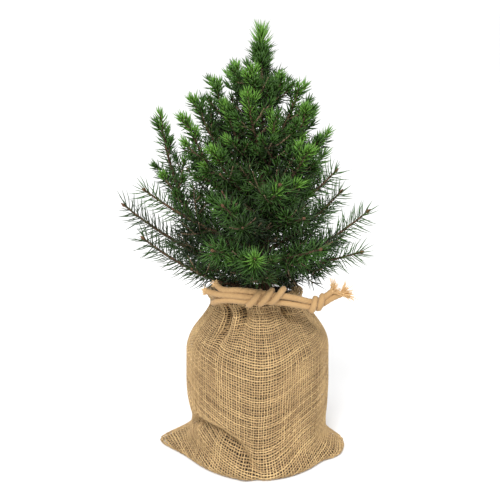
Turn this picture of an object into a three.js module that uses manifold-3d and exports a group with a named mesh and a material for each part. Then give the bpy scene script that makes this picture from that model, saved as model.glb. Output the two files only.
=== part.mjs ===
// A young spruce on its root ball, in a burlap sack closed by a drawstring.
// Millimetres, +Z up, the front of the sack towards -Y, the origin under the middle of the sack.
// Each limb is worked out from its foot on the trunk and its tip; a seeded rule grows the twigs and needles.
import * as THREE from "three";
import { mergeVertices } from "three/addons/utils/BufferGeometryUtils.js";
import Module from "manifold-3d";

const wasm = await Module();
wasm.setup();

// ---------------------------------------------------------------- driving dimensions
const GAP = 0.3; // clearance between two pieces that touch
const UP = new THREE.Vector3(0, 0, 1);
const DEG = Math.PI / 180;
const SIDES = { sack: 36, ball: 24, cord: 6, trunk: 10, bough: 5, twig: 3 };

const SACK = {
  bodyRadius: 70.5, // the full sack at mid height
  neckRadius: 45, // just under the hem
  shoulder: 110, // height where the sack starts to draw in
  neck: 157, // height of the narrowest place
  top: 173, // top of the hem
  hem: { middle: 167, height: 6, bulge: 3.5, turnedIn: 5 }, // the roll of cloth round the neck
  neckShift: -3, // the neck is drawn to the left of the body
  slump: 6, // how far the right shoulder sags outwards
  undercut: 3, // the cloth turns in where it meets the ground
  rings: [-4, 4, 10, 18, 28, 44, 108, 119, 128, 136, 144, 151, 157, 161, 166, 170, 173],
};
// How far the cloth spreads where it meets the ground, all round and across the front, and from what height.
const FOOT = { spread: 7.5, height: 22, front: 10, frontHeight: 42, sharpness: 1.6 };
const EARS = [
  // turn about the axis, reach beyond the foot, half width in degrees, bluntness, height at the root
  { turn: 177, reach: 25, width: 17, blunt: 1.6, height: 25 },
  { turn: -8, reach: 13, width: 21, blunt: 4, height: 24 },
];
const PLEATS = [
  // turn, depth at the neck, half width in degrees, how far down the pleat runs
  { turn: -123, depth: 7.5, width: 9, run: 52 },
  { turn: -106, depth: 6, width: 6, run: 38 },
  { turn: -48, depth: 7.5, width: 9, run: 34 },
  { turn: -12, depth: 3, width: 8, run: 26 },
  { turn: 22, depth: 5, width: 9, run: 40 },
  { turn: 55, depth: 7, width: 9, run: 48 },
  { turn: 88, depth: 6, width: 8, run: 42 },
  { turn: 121, depth: 7, width: 10, run: 50 },
  { turn: 156, depth: 5, width: 9, run: 38 },
  { turn: -163, depth: 4, width: 8, run: 30 },
];
const BALL = {
  floor: 2, // thickness of cloth under it
  // radius and height up its side
  outline: [[58, 2], [64, 11], [67, 40], [67, 108], [60, 122], [47, 138], [36, 150], [32, 161]],
  top: 161,
};
const MOUTH = { radius: 39, floor: 157, chamfer: 6 }; // clear opening of the hem
const CORD = {
  radius: 2.4,
  squeezed: 1.9, // inside the hem
  tunnelRadius: 44,
  tunnelHeight: 166,
  frontRadius: 52.5, // where it lies outside the hem
  frontHeight: 171,
  leftExit: -150, // turn where it comes out of the hem on the left
  rightExit: -38,
  easing: 22, // degrees over which it comes out
  steps: 24,
};
const TRUNK = {
  foot: BALL.top + GAP,
  top: 376,
  footRadius: 7.2, // at the root flare
  stemRadius: 4.6,
  tipRadius: 1.3,
  flare: 9, // height over which the flare dies out
  footX: 9.5,
  topX: 3.5,
  straightFrom: 315, // the lean has gone by this height
  buttress: 0.12, // the flare's five lobes, as a share of its radius
  wave: { reach: 1.5, length: 42 }, // a slight bend from front to back
  rings: [0, 4, 10, 22, 45, 75, 105, 135, 165, 192], // heights above the foot
};
const BOUGH = { radius: 0.9, radiusPerLength: 0.014, sway: 0.045, steps: 5 };
const NEEDLE = { length: 15.5, pitch: 14, lean: 38 * DEG, shares: [1, 0.66] };
const TWIG = {
  footRadius: 0.98,
  tipRadius: 0.55,
  twist: 37 * DEG, // each ring of needles is turned from the last
  bud: 4, // length of the point at its tip
  firstAt: 0.12, // where the first side twig leaves the stem, as a share of its length
  spread: 0.6, // share of the stem that bears side twigs
  apart: 26, // length of stem to each side twig
  most: 3,
  shortest: 9,
  longestStem: 90,
  lift: 0.16, // how far it bends upwards, as a share of its length
};
const CLEAR = { limb: 3.4, trunk: 2.2, neighbour: 1.4, cord: 5, sackTop: 178.5, sackRadius: 66, skirt: 160 };
const FINEST = 0.03; // detail smaller than this is smoothed away
const GRID = 0.002; // corners of a good mass lie at least about this far apart

// Every limb: height of its foot, its turn about the trunk (0 is +X, -90 the front), the reach and height of
// its tip, how far out and up its elbow lies, and the share of its length that is a bare bough.
const limb = (name, foot, turn, reach, tip, out, up, bare) =>
  ({ name, foot, turn: turn * DEG, reach, tip, out, up, bare });
const LIMBS = [
  limb("left_low", 167, 191, 120, 223, 0.5, 0.1, 0.4),
  limb("left_long", 177, 175, 140, 248, 0.52, 0.2, 0.36),
  limb("left_tall", 188, 180, 101, 341, 0.85, 0.08, 0.42),
  limb("left_mid", 205, 190, 116, 270, 0.5, 0.3, 0.34),
  limb("left_inner", 246, 197, 77, 340, 0.62, 0.2, 0),
  limb("left_crest", 266, 176, 65, 354, 0.62, 0.2, 0),
  limb("left_top", 290, 170, 47, 370, 0.6, 0.2, 0),
  limb("right_low", 176, -3, 92, 205, 0.5, 0.62, 0.36),
  limb("right_long", 184, 1, 98, 244, 0.5, 0.35, 0.36),
  limb("right_mid", 205, 8, 74, 262, 0.5, 0.3, 0),
  limb("right_inner", 232, -8, 68, 286, 0.5, 0.3, 0),
  limb("right_crest", 262, -6, 55, 317, 0.6, 0.2, 0),
  limb("right_upper", 286, -20, 45, 345, 0.62, 0.2, 0),
  limb("right_top", 306, 10, 35, 360, 0.62, 0.2, 0),
  limb("front_low", 180, -97, 98, 224, 0.5, 0.45, 0.3),
  limb("front_low_left", 195, -124, 88, 225, 0.5, 0.5, 0.3),
  limb("front_low_right", 192, -54, 82, 224, 0.5, 0.5, 0.3),
  limb("front_left", 212, -118, 82, 266, 0.5, 0.42, 0),
  limb("front_right", 226, -62, 74, 253, 0.5, 0.5, 0),
  limb("front_mid", 236, -79, 68, 284, 0.5, 0.32, 0),
  limb("front_fill_left", 250, -140, 62, 312, 0.55, 0.3, 0),
  limb("front_fill_right", 256, -45, 56, 310, 0.55, 0.3, 0),
  limb("front_high_left", 282, -158, 38, 350, 0.6, 0.2, 0),
  limb("front_high_right", 278, -72, 34, 340, 0.6, 0.2, 0),
  limb("front_upper", 300, -112, 36, 358, 0.6, 0.2, 0),
  limb("back_low_left", 169, 128, 108, 226, 0.5, 0.35, 0.34),
  limb("back_low", 182, 92, 102, 222, 0.5, 0.4, 0.34),
  limb("back_low_right", 176, 52, 104, 230, 0.5, 0.35, 0.34),
  limb("back_mid_left", 214, 146, 92, 276, 0.52, 0.3, 0.28),
  limb("back_mid", 208, 108, 90, 266, 0.52, 0.3, 0),
  limb("back_mid_right", 216, 66, 86, 274, 0.52, 0.3, 0.28),
  limb("back_fill_right", 238, 32, 72, 296, 0.52, 0.3, 0),
  limb("back_upper_left", 258, 134, 62, 322, 0.56, 0.26, 0),
  limb("back_upper", 246, 88, 64, 312, 0.56, 0.26, 0),
  limb("back_upper_right", 270, 48, 52, 334, 0.56, 0.26, 0),
  limb("back_crest", 290, 104, 42, 352, 0.58, 0.24, 0),
  limb("crest_left", 326, 192, 25, 386, 0.62, 0.25, 0),
  limb("crest_front", 332, -110, 28, 384, 0.6, 0.25, 0),
  limb("crest_right", 328, -22, 18, 374, 0.6, 0.25, 0),
  limb("crest_back", 334, 82, 25, 382, 0.6, 0.25, 0),
];
const LEADER = { name: "leader", tip: 417 };

const COLOURS = {
  burlap: new THREE.Color(0.62, 0.47, 0.3),
  soil: new THREE.Color(0.07, 0.045, 0.03),
  cord: new THREE.Color(0.75, 0.57, 0.38),
  bark: new THREE.Color(0.16, 0.11, 0.08),
  needles: new THREE.Color(0.05, 0.13, 0.04),
};

// ---------------------------------------------------------------- helpers
const clamp01 = (x) => Math.min(1, Math.max(0, x));
const smooth = (a, b, x) => {
  const t = clamp01((x - a) / (b - a));
  return t * t * (3 - 2 * t);
};
const wrap = (angle) => Math.atan2(Math.sin(angle), Math.cos(angle));

// The same sequence of numbers from 0 to 1 for the same seed.
function seeded(seed) {
  let state = seed * 7919 + 17;
  return () => {
    state = (state * 16807) % 2147483647;
    return state / 2147483647;
  };
}

// A closed mesh, given as points and triangles, as a solid that can be cut and joined.
function solidOf(points, faces) {
  const positions = new Float32Array(points.flatMap((p) => [p.x, p.y, p.z]));
  const geometry = new THREE.BufferGeometry();
  geometry.setAttribute("position", new THREE.BufferAttribute(positions, 3));
  geometry.setIndex(faces.flat());
  const merged = mergeVertices(geometry, 1e-4);
  return new wasm.Manifold(
    new wasm.Mesh({
      numProp: 3,
      vertProperties: merged.attributes.position.array,
      triVerts: new Uint32Array(merged.index.array),
    }),
  );
}

// The largest piece of a cut or joined solid, without the slivers that cutting leaves.
function largest(solid) {
  return solid
    .decompose()
    .reduce((a, b) => (b.volume() > a.volume() ? b : a))
    .simplify(FINEST);
}

// True if every edge joins just two faces and has some length, once its ends are rounded.
function isSound(solid) {
  const { vertProperties, triVerts } = solid.getMesh();
  const place = (v) => [0, 1, 2].map((k) => Math.round(vertProperties[3 * v + k] / GRID)).join();
  const uses = new Map();
  for (let i = 0; i < triVerts.length; i++) {
    const next = i % 3 === 2 ? i - 2 : i + 1;
    const ends = [place(triVerts[i]), place(triVerts[next])].sort();
    if (ends[0] === ends[1]) return false;
    const edge = ends.join("|");
    uses.set(edge, (uses.get(edge) ?? 0) + 1);
  }
  return [...uses.values()].every((count) => count === 2);
}

function meshOf(name, solid, colour, roughness) {
  const { vertProperties, triVerts } = solid.getMesh();
  const geometry = new THREE.BufferGeometry();
  geometry.setAttribute("position", new THREE.BufferAttribute(new Float32Array(vertProperties), 3));
  geometry.setIndex(new THREE.BufferAttribute(new Uint32Array(triVerts), 1));
  geometry.computeVertexNormals();
  const material = new THREE.MeshStandardMaterial({ color: colour, roughness, metalness: 0 });
  const mesh = new THREE.Mesh(geometry, material);
  mesh.name = name;
  return mesh;
}

// Unit tangents and two normals at each point of a line, carried along it without twisting.
function framesAlong(points) {
  const frames = [];
  let normal = null;
  points.forEach((p, i) => {
    const before = points[Math.max(0, i - 1)];
    const after = points[Math.min(points.length - 1, i + 1)];
    const tangent = after.clone().sub(before).normalize();
    const side = normal ?? new THREE.Vector3(0, 0, 1).cross(tangent);
    if (side.lengthSq() < 1e-6) side.set(1, 0, 0);
    normal = side.clone().addScaledVector(tangent, -side.dot(tangent)).normalize();
    frames.push({ p, tangent, normal, binormal: tangent.clone().cross(normal) });
  });
  return frames;
}

function ringPoint(frame, radius, angle) {
  return frame.p
    .clone()
    .addScaledVector(frame.normal, radius * Math.cos(angle))
    .addScaledVector(frame.binormal, radius * Math.sin(angle));
}

// A round bar along a line of points, closed at both ends; radius is a function of the share of its length.
function bar(points, radius, sides) {
  const frames = framesAlong(points);
  const vertices = frames.flatMap((frame, i) =>
    Array.from({ length: sides }, (_, k) =>
      ringPoint(frame, radius(i / (points.length - 1)), (2 * Math.PI * k) / sides),
    ),
  );
  const faces = [];
  const at = (i, k) => i * sides + (k % sides);
  for (let i = 0; i < points.length - 1; i++)
    for (let k = 0; k < sides; k++)
      faces.push([at(i, k), at(i, k + 1), at(i + 1, k + 1)], [at(i, k), at(i + 1, k + 1), at(i + 1, k)]);
  for (let k = 1; k < sides - 1; k++) {
    faces.push([at(0, 0), at(0, k + 1), at(0, k)]);
    faces.push([at(points.length - 1, 0), at(points.length - 1, k), at(points.length - 1, k + 1)]);
  }
  return solidOf(vertices, faces);
}

// A body turned about the Z axis from a profile of [radius, height] that starts and ends on the axis.
function turned(profile, sides) {
  const shape = profile.map(([r, z]) => new THREE.Vector2(r, z));
  const lathe = new THREE.LatheGeometry(shape, sides).rotateX(Math.PI / 2);
  const position = lathe.getAttribute("position");
  const points = Array.from({ length: position.count }, (_, i) =>
    new THREE.Vector3().fromBufferAttribute(position, i),
  );
  const index = lathe.getIndex().array;
  const faces = [];
  for (let i = 0; i < index.length; i += 3) faces.push([index[i], index[i + 1], index[i + 2]]);
  return solidOf(points, faces);
}

// ---------------------------------------------------------------- sack
// 1 on the ground, falling to 0 at a height.
const nearGround = (z, height) => (1 - smooth(0, height, z)) ** FOOT.sharpness;

// Outer radius of the sack at a turn and height: the filled body, the two corner ears that lie on the ground,
// the pleats that run down from the neck, and the rolled hem.
function sackRadius(turn, z) {
  const drawIn = smooth(SACK.shoulder, SACK.neck, z);
  let r = SACK.bodyRadius + (SACK.neckRadius - SACK.bodyRadius) * drawIn ** 1.25;
  r -= SACK.undercut * (1 - smooth(0, 4, z));
  const forward = Math.max(0, -Math.sin(turn)) ** 4;
  r += FOOT.spread * nearGround(z, FOOT.height);
  r += FOOT.front * forward * nearGround(z, FOOT.frontHeight);
  r += SACK.slump * Math.max(0, Math.cos(turn)) * smooth(100, 136, z) * (1 - smooth(138, 156, z));
  for (const ear of EARS) {
    const across = wrap(turn - ear.turn * DEG) / (ear.width * DEG);
    r += ear.reach * nearGround(z, ear.height) * Math.exp(-(Math.abs(across) ** ear.blunt));
  }
  const under = Math.max(0, SACK.neck - z);
  const above = 1 - 0.85 * smooth(SACK.neck, SACK.neck + 5, z); // the hem fills most of each pleat
  for (const pleat of PLEATS) {
    const across = wrap(turn - pleat.turn * DEG) / (pleat.width * DEG);
    const hold = z > SACK.neck ? above : 1 - smooth(0, pleat.run, under);
    r -= pleat.depth * hold * Math.exp(-across * across);
  }
  const { hem } = SACK;
  r += hem.bulge * Math.exp(-(((z - hem.middle) / hem.height) ** 2));
  r -= hem.turnedIn * smooth(SACK.top - 3, SACK.top, z);
  return r;
}

const neckShift = (z) => SACK.neckShift * smooth(SACK.neck - 8, SACK.neck + 6, z);

function makeSackBody() {
  const heights = SACK.rings;
  const columns = SIDES.sack;
  const points = heights.flatMap((z) =>
    Array.from({ length: columns }, (_, k) => {
      const turn = (2 * Math.PI * k) / columns;
      const r = sackRadius(turn, Math.max(0, z));
      return new THREE.Vector3(neckShift(z) + r * Math.cos(turn), r * Math.sin(turn), z);
    }),
  );
  const faces = [];
  const at = (i, k) => i * columns + (k % columns);
  for (let i = 0; i < heights.length - 1; i++)
    for (let k = 0; k < columns; k++)
      faces.push([at(i, k), at(i, k + 1), at(i + 1, k + 1)], [at(i, k), at(i + 1, k + 1), at(i + 1, k)]);
  const last = heights.length - 1;
  const foot = points.push(new THREE.Vector3(0, 0, heights[0])) - 1;
  const head = points.push(new THREE.Vector3(0, 0, heights[last])) - 1;
  for (let k = 0; k < columns; k++) {
    faces.push([foot, at(0, k + 1), at(0, k)]);
    faces.push([head, at(last, k), at(last, k + 1)]);
  }
  return solidOf(points, faces);
}

// The lump of roots and soil that fills the sack, grown by a clearance to give the space that holds it.
function ballProfile(grow) {
  const side = BALL.outline.map(([r, z], i) => [r + grow, i ? z : z + GAP - grow]);
  return [[0, side[0][1]], ...side];
}

function makeRootBall() {
  return turned([...ballProfile(0), [0, BALL.top]], SIDES.ball);
}

function makeSack(cordClearance) {
  const above = SACK.top + 10;
  const below = SACK.rings[0] - 10;
  const wide = 2 * SACK.bodyRadius;
  const { radius, floor, chamfer } = MOUTH;
  const rim = [[radius, floor + chamfer], [radius, above], [0, above]];
  const mouthProfile = [[0, floor], [radius - chamfer, floor], ...rim];
  const mouth = turned(mouthProfile, SIDES.ball).translate([SACK.neckShift, 0, 0]);
  const hollow = turned([...ballProfile(GAP), [0, BALL.top + 1]], SIDES.ball).add(mouth);
  const ground = turned([[0, below], [wide, below], [wide, 0], [0, 0]], SIDES.ball);
  return largest(makeSackBody().subtract(ground).subtract(hollow).subtract(cordClearance));
}

// ---------------------------------------------------------------- drawstring
// One turn round the neck: inside the hem at the back and sides, outside it across the front.
function neckCord(grow) {
  const { steps, easing } = CORD;
  const sides = SIDES.cord;
  const front = (turn) => {
    const degrees = wrap(turn) / DEG;
    const fromLeft = smooth(CORD.leftExit - easing / 4, CORD.leftExit + (3 * easing) / 4, degrees);
    return fromLeft * (1 - smooth(CORD.rightExit - (3 * easing) / 4, CORD.rightExit + easing / 4, degrees));
  };
  const vertices = [];
  for (let i = 0; i < steps; i++) {
    const turn = (2 * Math.PI * i) / steps;
    const out = front(turn);
    const ringRadius = CORD.tunnelRadius + (CORD.frontRadius - CORD.tunnelRadius) * out;
    const height = CORD.tunnelHeight + (CORD.frontHeight - CORD.tunnelHeight) * out;
    const thick = CORD.squeezed + (CORD.radius - CORD.squeezed) * out + grow;
    for (let k = 0; k < sides; k++) {
      const angle = (2 * Math.PI * k) / sides;
      const r = ringRadius + thick * Math.cos(angle);
      const x = SACK.neckShift + r * Math.cos(turn);
      vertices.push(new THREE.Vector3(x, r * Math.sin(turn), height + thick * Math.sin(angle)));
    }
  }
  const faces = [];
  const at = (i, k) => (i % steps) * sides + (k % sides);
  for (let i = 0; i < steps; i++)
    for (let k = 0; k < sides; k++)
      faces.push([at(i, k), at(i + 1, k), at(i + 1, k + 1)], [at(i, k), at(i + 1, k + 1), at(i, k + 1)]);
  return solidOf(vertices, faces);
}

// A smooth strand through a few points; it thickens where the cut end has frayed.
function strand(points, steps, fray = 0) {
  const curve = new THREE.CatmullRomCurve3(points);
  return bar(curve.getPoints(steps), (t) => CORD.radius * (1 + fray * smooth(0.75, 1, t)), SIDES.cord);
}

// Turns of cord wound round a line from a to b, as an overhand knot shows them.
function winding(a, b, turns, radius, steps) {
  const along = b.clone().sub(a);
  const side = UP.clone().addScaledVector(along, -UP.dot(along) / along.lengthSq()).normalize();
  const across = along.clone().normalize().cross(side);
  const points = Array.from({ length: steps + 1 }, (_, i) => {
    const angle = 2 * Math.PI * turns * (i / steps) - Math.PI * 0.6;
    return a
      .clone()
      .addScaledVector(along, i / steps)
      .addScaledVector(side, radius * Math.cos(angle))
      .addScaledVector(across, radius * Math.sin(angle));
  });
  return bar(points, () => CORD.radius, SIDES.cord);
}

const KNOT = { left: new THREE.Vector3(-8, -57, 171), right: new THREE.Vector3(17, -56.5, 173) };
const STOPPER = { left: new THREE.Vector3(48, -51, 169.5), right: new THREE.Vector3(58, -50.5, 171.5) };

function makeDrawstring() {
  const v = (x, y, z) => new THREE.Vector3(x, y, z);
  const pieces = [
    neckCord(0),
    strand([KNOT.right, v(-20, -55.5, 173), v(-50, -40, 173.5)], 7, 0.25),
    strand([KNOT.right, v(-18, -54, 177.5), v(-42, -43, 180)], 7, 0.25),
    winding(KNOT.left, KNOT.right, 2, 3.1, 17),
    strand([KNOT.left, v(28, -54, 170), STOPPER.right, v(65, -49, 178), v(69, -48, 183)], 10, 0.7),
    strand([KNOT.left, v(28, -54.5, 174.5), STOPPER.right, v(76, -49, 174.5), v(90, -48, 177.5)], 10, 0.9),
    winding(STOPPER.left, STOPPER.right, 1.4, 3.2, 10),
  ];
  return largest(wasm.Manifold.union(pieces));
}

// ---------------------------------------------------------------- trunk and limbs
function trunkAxis(z) {
  const low = clamp01((TRUNK.straightFrom - z) / (TRUNK.straightFrom - TRUNK.foot));
  const x = TRUNK.topX + (TRUNK.footX - TRUNK.topX) * low ** 1.3;
  return new THREE.Vector3(x, TRUNK.wave.reach * Math.sin(z / TRUNK.wave.length), z);
}

function trunkRadius(z) {
  const share = clamp01((z - TRUNK.foot) / (TRUNK.top - TRUNK.foot));
  const flare = (TRUNK.footRadius - TRUNK.stemRadius) * Math.exp(-(z - TRUNK.foot) / TRUNK.flare);
  return TRUNK.stemRadius + (TRUNK.tipRadius - TRUNK.stemRadius) * share ** 0.9 + flare;
}

// The trunk stands upright at its foot, so that its cut there is flat and level.
function makeTrunk(grow) {
  const sides = SIDES.trunk;
  const heights = [...TRUNK.rings.map((h) => TRUNK.foot + h), TRUNK.top];
  const vertices = heights.flatMap((z) => {
    const centre = trunkAxis(z);
    return Array.from({ length: sides }, (_, k) => {
      const angle = (2 * Math.PI * k) / sides;
      const buttress = 1 + TRUNK.buttress * Math.cos(5 * angle) * Math.exp(-(z - TRUNK.foot) / TRUNK.flare);
      const r = trunkRadius(z) * buttress + grow;
      return new THREE.Vector3(centre.x + r * Math.cos(angle), centre.y + r * Math.sin(angle), z);
    });
  });
  const faces = [];
  const at = (i, k) => i * sides + (k % sides);
  for (let i = 0; i < heights.length - 1; i++)
    for (let k = 0; k < sides; k++)
      faces.push([at(i, k), at(i, k + 1), at(i + 1, k + 1)], [at(i, k), at(i + 1, k + 1), at(i + 1, k)]);
  const last = heights.length - 1;
  for (let k = 1; k < sides - 1; k++) {
    faces.push([at(0, 0), at(0, k + 1), at(0, k)]);
    faces.push([at(last, 0), at(last, k), at(last, k + 1)]);
  }
  return solidOf(vertices, faces);
}

// A limb is a curve with one elbow, from the trunk's axis to its tip, with a little sway to one side.
function limbPoint(limb, share) {
  const foot = trunkAxis(limb.foot);
  const bend = 2 * share * (1 - share);
  const r = limb.reach * (bend * limb.out + share * share);
  const z = limb.foot + (limb.tip - limb.foot) * (bend * limb.up + share * share);
  const sway = BOUGH.sway * limb.reach * Math.sin(Math.PI * share) * Math.sin(limb.foot * 1.7);
  const x = foot.x + r * Math.cos(limb.turn) - sway * Math.sin(limb.turn);
  const y = foot.y + r * Math.sin(limb.turn) + sway * Math.cos(limb.turn);
  return new THREE.Vector3(x, y, z);
}

function limbLength(limb) {
  return Math.hypot(limb.reach, limb.tip - limb.foot);
}

function limbRadius(limb, share) {
  const foot = BOUGH.radius + limbLength(limb) * BOUGH.radiusPerLength;
  return foot + (TWIG.tipRadius - foot) * share ** 0.8;
}

const linePoints = (limb, from, to, steps) =>
  Array.from({ length: steps + 1 }, (_, i) => limbPoint(limb, from + ((to - from) * i) / steps));

// The leader goes on from the trunk's tip.
const leaderPoint = (share) => {
  const z = TRUNK.top + GAP + (LEADER.tip - TRUNK.top - GAP) * share;
  return trunkAxis(TRUNK.top).setZ(z).add(new THREE.Vector3(-0.8 * share, 0, 0));
};

const LINES = [
  ...LIMBS.map((limb) => ({ name: limb.name, points: linePoints(limb, 0, 1, 14), limb })),
  { name: LEADER.name, points: Array.from({ length: 6 }, (_, i) => leaderPoint(i / 5)) },
];

const segment = new THREE.Line3();
const nearest = new THREE.Vector3();
function distanceToLine(p, points) {
  let best = Infinity;
  for (let i = 0; i < points.length - 1; i++) {
    segment.set(points[i], points[i + 1]).closestPointToPoint(p, true, nearest);
    best = Math.min(best, nearest.distanceTo(p));
  }
  return best;
}

const CORD_LINES = [
  [new THREE.Vector3(-53, -40, 174), new THREE.Vector3(-20, -55, 175), KNOT.right, STOPPER.right],
  [new THREE.Vector3(-44, -42, 180), new THREE.Vector3(-18, -54, 177), KNOT.right],
  [STOPPER.right, new THREE.Vector3(68, -48, 182), new THREE.Vector3(84, -48, 178)],
];

// A point is in a mass's own space if it is nearer to that mass's line than to any other, and clear of the
// trunk, the sack and the drawstring.
function inOwnSpace(p, own) {
  const mine = distanceToLine(p, own.points);
  if (p.z < TRUNK.top) {
    const axis = trunkAxis(p.z);
    if (Math.hypot(p.x - axis.x, p.y - axis.y) < trunkRadius(p.z) + CLEAR.trunk) return false;
  }
  if (p.z < CLEAR.sackTop && Math.hypot(p.x, p.y) < CLEAR.sackRadius) return false;
  if (p.z < CLEAR.skirt) return false;
  if (CORD_LINES.some((line) => distanceToLine(p, line) < CLEAR.cord)) return false;
  return LINES.every((other) => {
    if (other === own) return true;
    const theirs = distanceToLine(p, other.points);
    return theirs > mine + CLEAR.neighbour && theirs > CLEAR.limb;
  });
}

// ---------------------------------------------------------------- twigs and needles
// A three-sided twig whose triangular faces are each drawn out into one needle. Needles that would leave the
// mass's own space stay flat.
function needledTwig(points, radiusAt, random, own, plainRings) {
  const frames = framesAlong(points);
  const sides = SIDES.twig;
  const last = points.length - 1;
  const vertices = frames.flatMap((frame, i) =>
    Array.from({ length: sides }, (_, k) =>
      ringPoint(frame, radiusAt(i / last), (2 * Math.PI * k) / sides + TWIG.twist * i),
    ),
  );
  const faces = [[0, 2, 1]];
  const at = (i, k) => i * sides + (k % sides);

  // Draws out the face a, b, c; share is how far along the twig's step i its middle lies.
  function growNeedle(a, b, c, i, share) {
    const root = vertices[a].clone().add(vertices[b]).add(vertices[c]).divideScalar(3);
    const tangent = points[i + 1].clone().sub(points[i]).normalize();
    const outward = root.clone().sub(points[i].clone().lerp(points[i + 1], share));
    outward.addScaledVector(tangent, -outward.dot(tangent)).normalize();
    const nearTip = smooth(0.7, 1, (i + 0.5) / last);
    const lean = NEEDLE.lean + 0.35 * nearTip + 0.16 * (random() - 0.5);
    const length = NEEDLE.length * (0.86 + 0.24 * random()) * (1 - 0.18 * nearTip);
    const along = outward.multiplyScalar(Math.cos(lean)).addScaledVector(tangent, Math.sin(lean));
    const fits = (part) =>
      [0.25, 0.5, 0.75, 1.05].every((s) =>
        inOwnSpace(root.clone().addScaledVector(along, length * part * s), own),
      );
    const reach = i < plainRings ? undefined : NEEDLE.shares.find(fits);
    if (!reach) {
      faces.push([a, b, c]);
      return;
    }
    const apex = vertices.push(root.clone().addScaledVector(along, length * reach)) - 1;
    faces.push([a, b, apex], [b, c, apex], [c, a, apex]);
  }

  for (let i = 0; i < last; i++)
    for (let k = 0; k < sides; k++) {
      growNeedle(at(i, k), at(i, k + 1), at(i + 1, k + 1), i, 1 / 3);
      growNeedle(at(i, k), at(i + 1, k + 1), at(i + 1, k), i, 2 / 3);
    }
  const bud = points[last].clone().addScaledVector(frames[last].tangent, TWIG.bud);
  const apex = vertices.push(bud) - 1;
  for (let k = 0; k < sides; k++) faces.push([at(last, k), at(last, k + 1), apex]);
  return solidOf(vertices, faces);
}

// Side twigs leave the stem on alternate sides, shorter towards its tip, and bend a little upwards.
function sideTwigs(stem, own, random) {
  const frames = framesAlong(stem);
  const length = Math.min(TWIG.longestStem, stem[0].distanceTo(stem[stem.length - 1]));
  const count = Math.max(2, Math.min(TWIG.most, Math.round(length / TWIG.apart)));
  const twigs = [];
  for (let n = 0; n < count; n++) {
    const share = TWIG.firstAt + (TWIG.spread * (n + 0.35 * random())) / count;
    const frame = frames[Math.round(share * (frames.length - 1))];
    const roll = (n % 2 ? Math.PI : 0) + (random() - 0.5) * 1.5;
    const splay = (42 + 12 * random()) * DEG;
    const reach = TWIG.shortest + length * (0.42 - 0.28 * share) * (0.8 + 0.4 * random());
    const level = new THREE.Vector3(-frame.tangent.y, frame.tangent.x, 0).normalize();
    const lift = level.clone().cross(frame.tangent).normalize();
    const side = level.multiplyScalar(Math.cos(roll)).addScaledVector(lift, Math.sin(roll));
    const ahead = frame.tangent.clone().multiplyScalar(Math.cos(splay));
    const heading = ahead.addScaledVector(side, Math.sin(splay));
    const steps = Math.max(2, Math.round(reach / NEEDLE.pitch));
    const points = [];
    for (let i = 0; i <= steps; i++) {
      const s = i / steps;
      const p = frame.p.clone().addScaledVector(heading, reach * s);
      p.z += TWIG.lift * reach * s * s;
      if (i > 0 && !inOwnSpace(p, own)) break;
      points.push(p);
    }
    if (points.length > 2) {
      const radius = (t) => TWIG.footRadius + (TWIG.tipRadius - TWIG.footRadius) * t;
      twigs.push(needledTwig(points, radius, random, own, 0));
    }
  }
  return twigs;
}

// The mass is grown again from another seed if its faces touch in a way that spoils the solid.
function makeMass(own, stem, radiusAt, cutter) {
  for (let seed = LINES.indexOf(own) + 1; ; seed += LINES.length) {
    const random = seeded(seed);
    const main = needledTwig(stem, radiusAt, random, own, cutter ? 1 : 0);
    const joined = wasm.Manifold.union([main, ...sideTwigs(stem, own, random)]);
    const mass = largest(cutter ? joined.subtract(cutter) : joined);
    if (isSound(mass)) return mass;
  }
}

function steppedLine(pointAt, from, length) {
  const steps = Math.max(4, Math.round(length / NEEDLE.pitch));
  return Array.from({ length: steps + 1 }, (_, i) => pointAt(from + ((1 - from) * i) / steps));
}

// ---------------------------------------------------------------- assembly
const plant = new THREE.Group();
const trunk = makeTrunk(0);
const trunkClearance = makeTrunk(GAP);

plant.add(meshOf("root_ball", makeRootBall(), COLOURS.soil, 0.95));
plant.add(meshOf("sack", makeSack(neckCord(GAP + 0.05)), COLOURS.burlap, 0.9));
plant.add(meshOf("drawstring", makeDrawstring(), COLOURS.cord, 0.85));
plant.add(meshOf("trunk", trunk, COLOURS.bark, 0.9));

LIMBS.forEach((limb, i) => {
  const length = limbLength(limb);
  if (limb.bare) {
    const line = linePoints(limb, 0, limb.bare, BOUGH.steps);
    const bough = bar(line, (t) => limbRadius(limb, t * limb.bare), SIDES.bough);
    plant.add(meshOf("bough_" + limb.name, largest(bough.subtract(trunkClearance)), COLOURS.bark, 0.9));
  }
  const from = limb.bare ? limb.bare + GAP / length : 0;
  const stem = steppedLine((s) => limbPoint(limb, s), from, length * (1 - from));
  const thick = (t) => Math.max(limbRadius(limb, from + (1 - from) * t), TWIG.tipRadius);
  const mass = makeMass(LINES[i], stem, thick, limb.bare ? null : trunkClearance);
  plant.add(meshOf("mass_" + limb.name, mass, COLOURS.needles, 0.7));
});

const leader = LINES[LINES.length - 1];
const leaderStem = steppedLine(leaderPoint, 0, LEADER.tip - TRUNK.top);
const leaderRadius = (t) => TRUNK.tipRadius + (TWIG.tipRadius - TRUNK.tipRadius) * t;
plant.add(meshOf("mass_leader", makeMass(leader, leaderStem, leaderRadius, null), COLOURS.needles, 0.7));

export default plant;
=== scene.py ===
"""A young spruce on its root ball, in a burlap sack closed by a drawstring.

Sizes are in millimetres, +Z up, the front of the sack towards -Y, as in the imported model, and become metres
when a mesh is made. Every curved surface is worked out with numpy as a function of two parameters.
"""

import math
from collections import namedtuple

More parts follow.
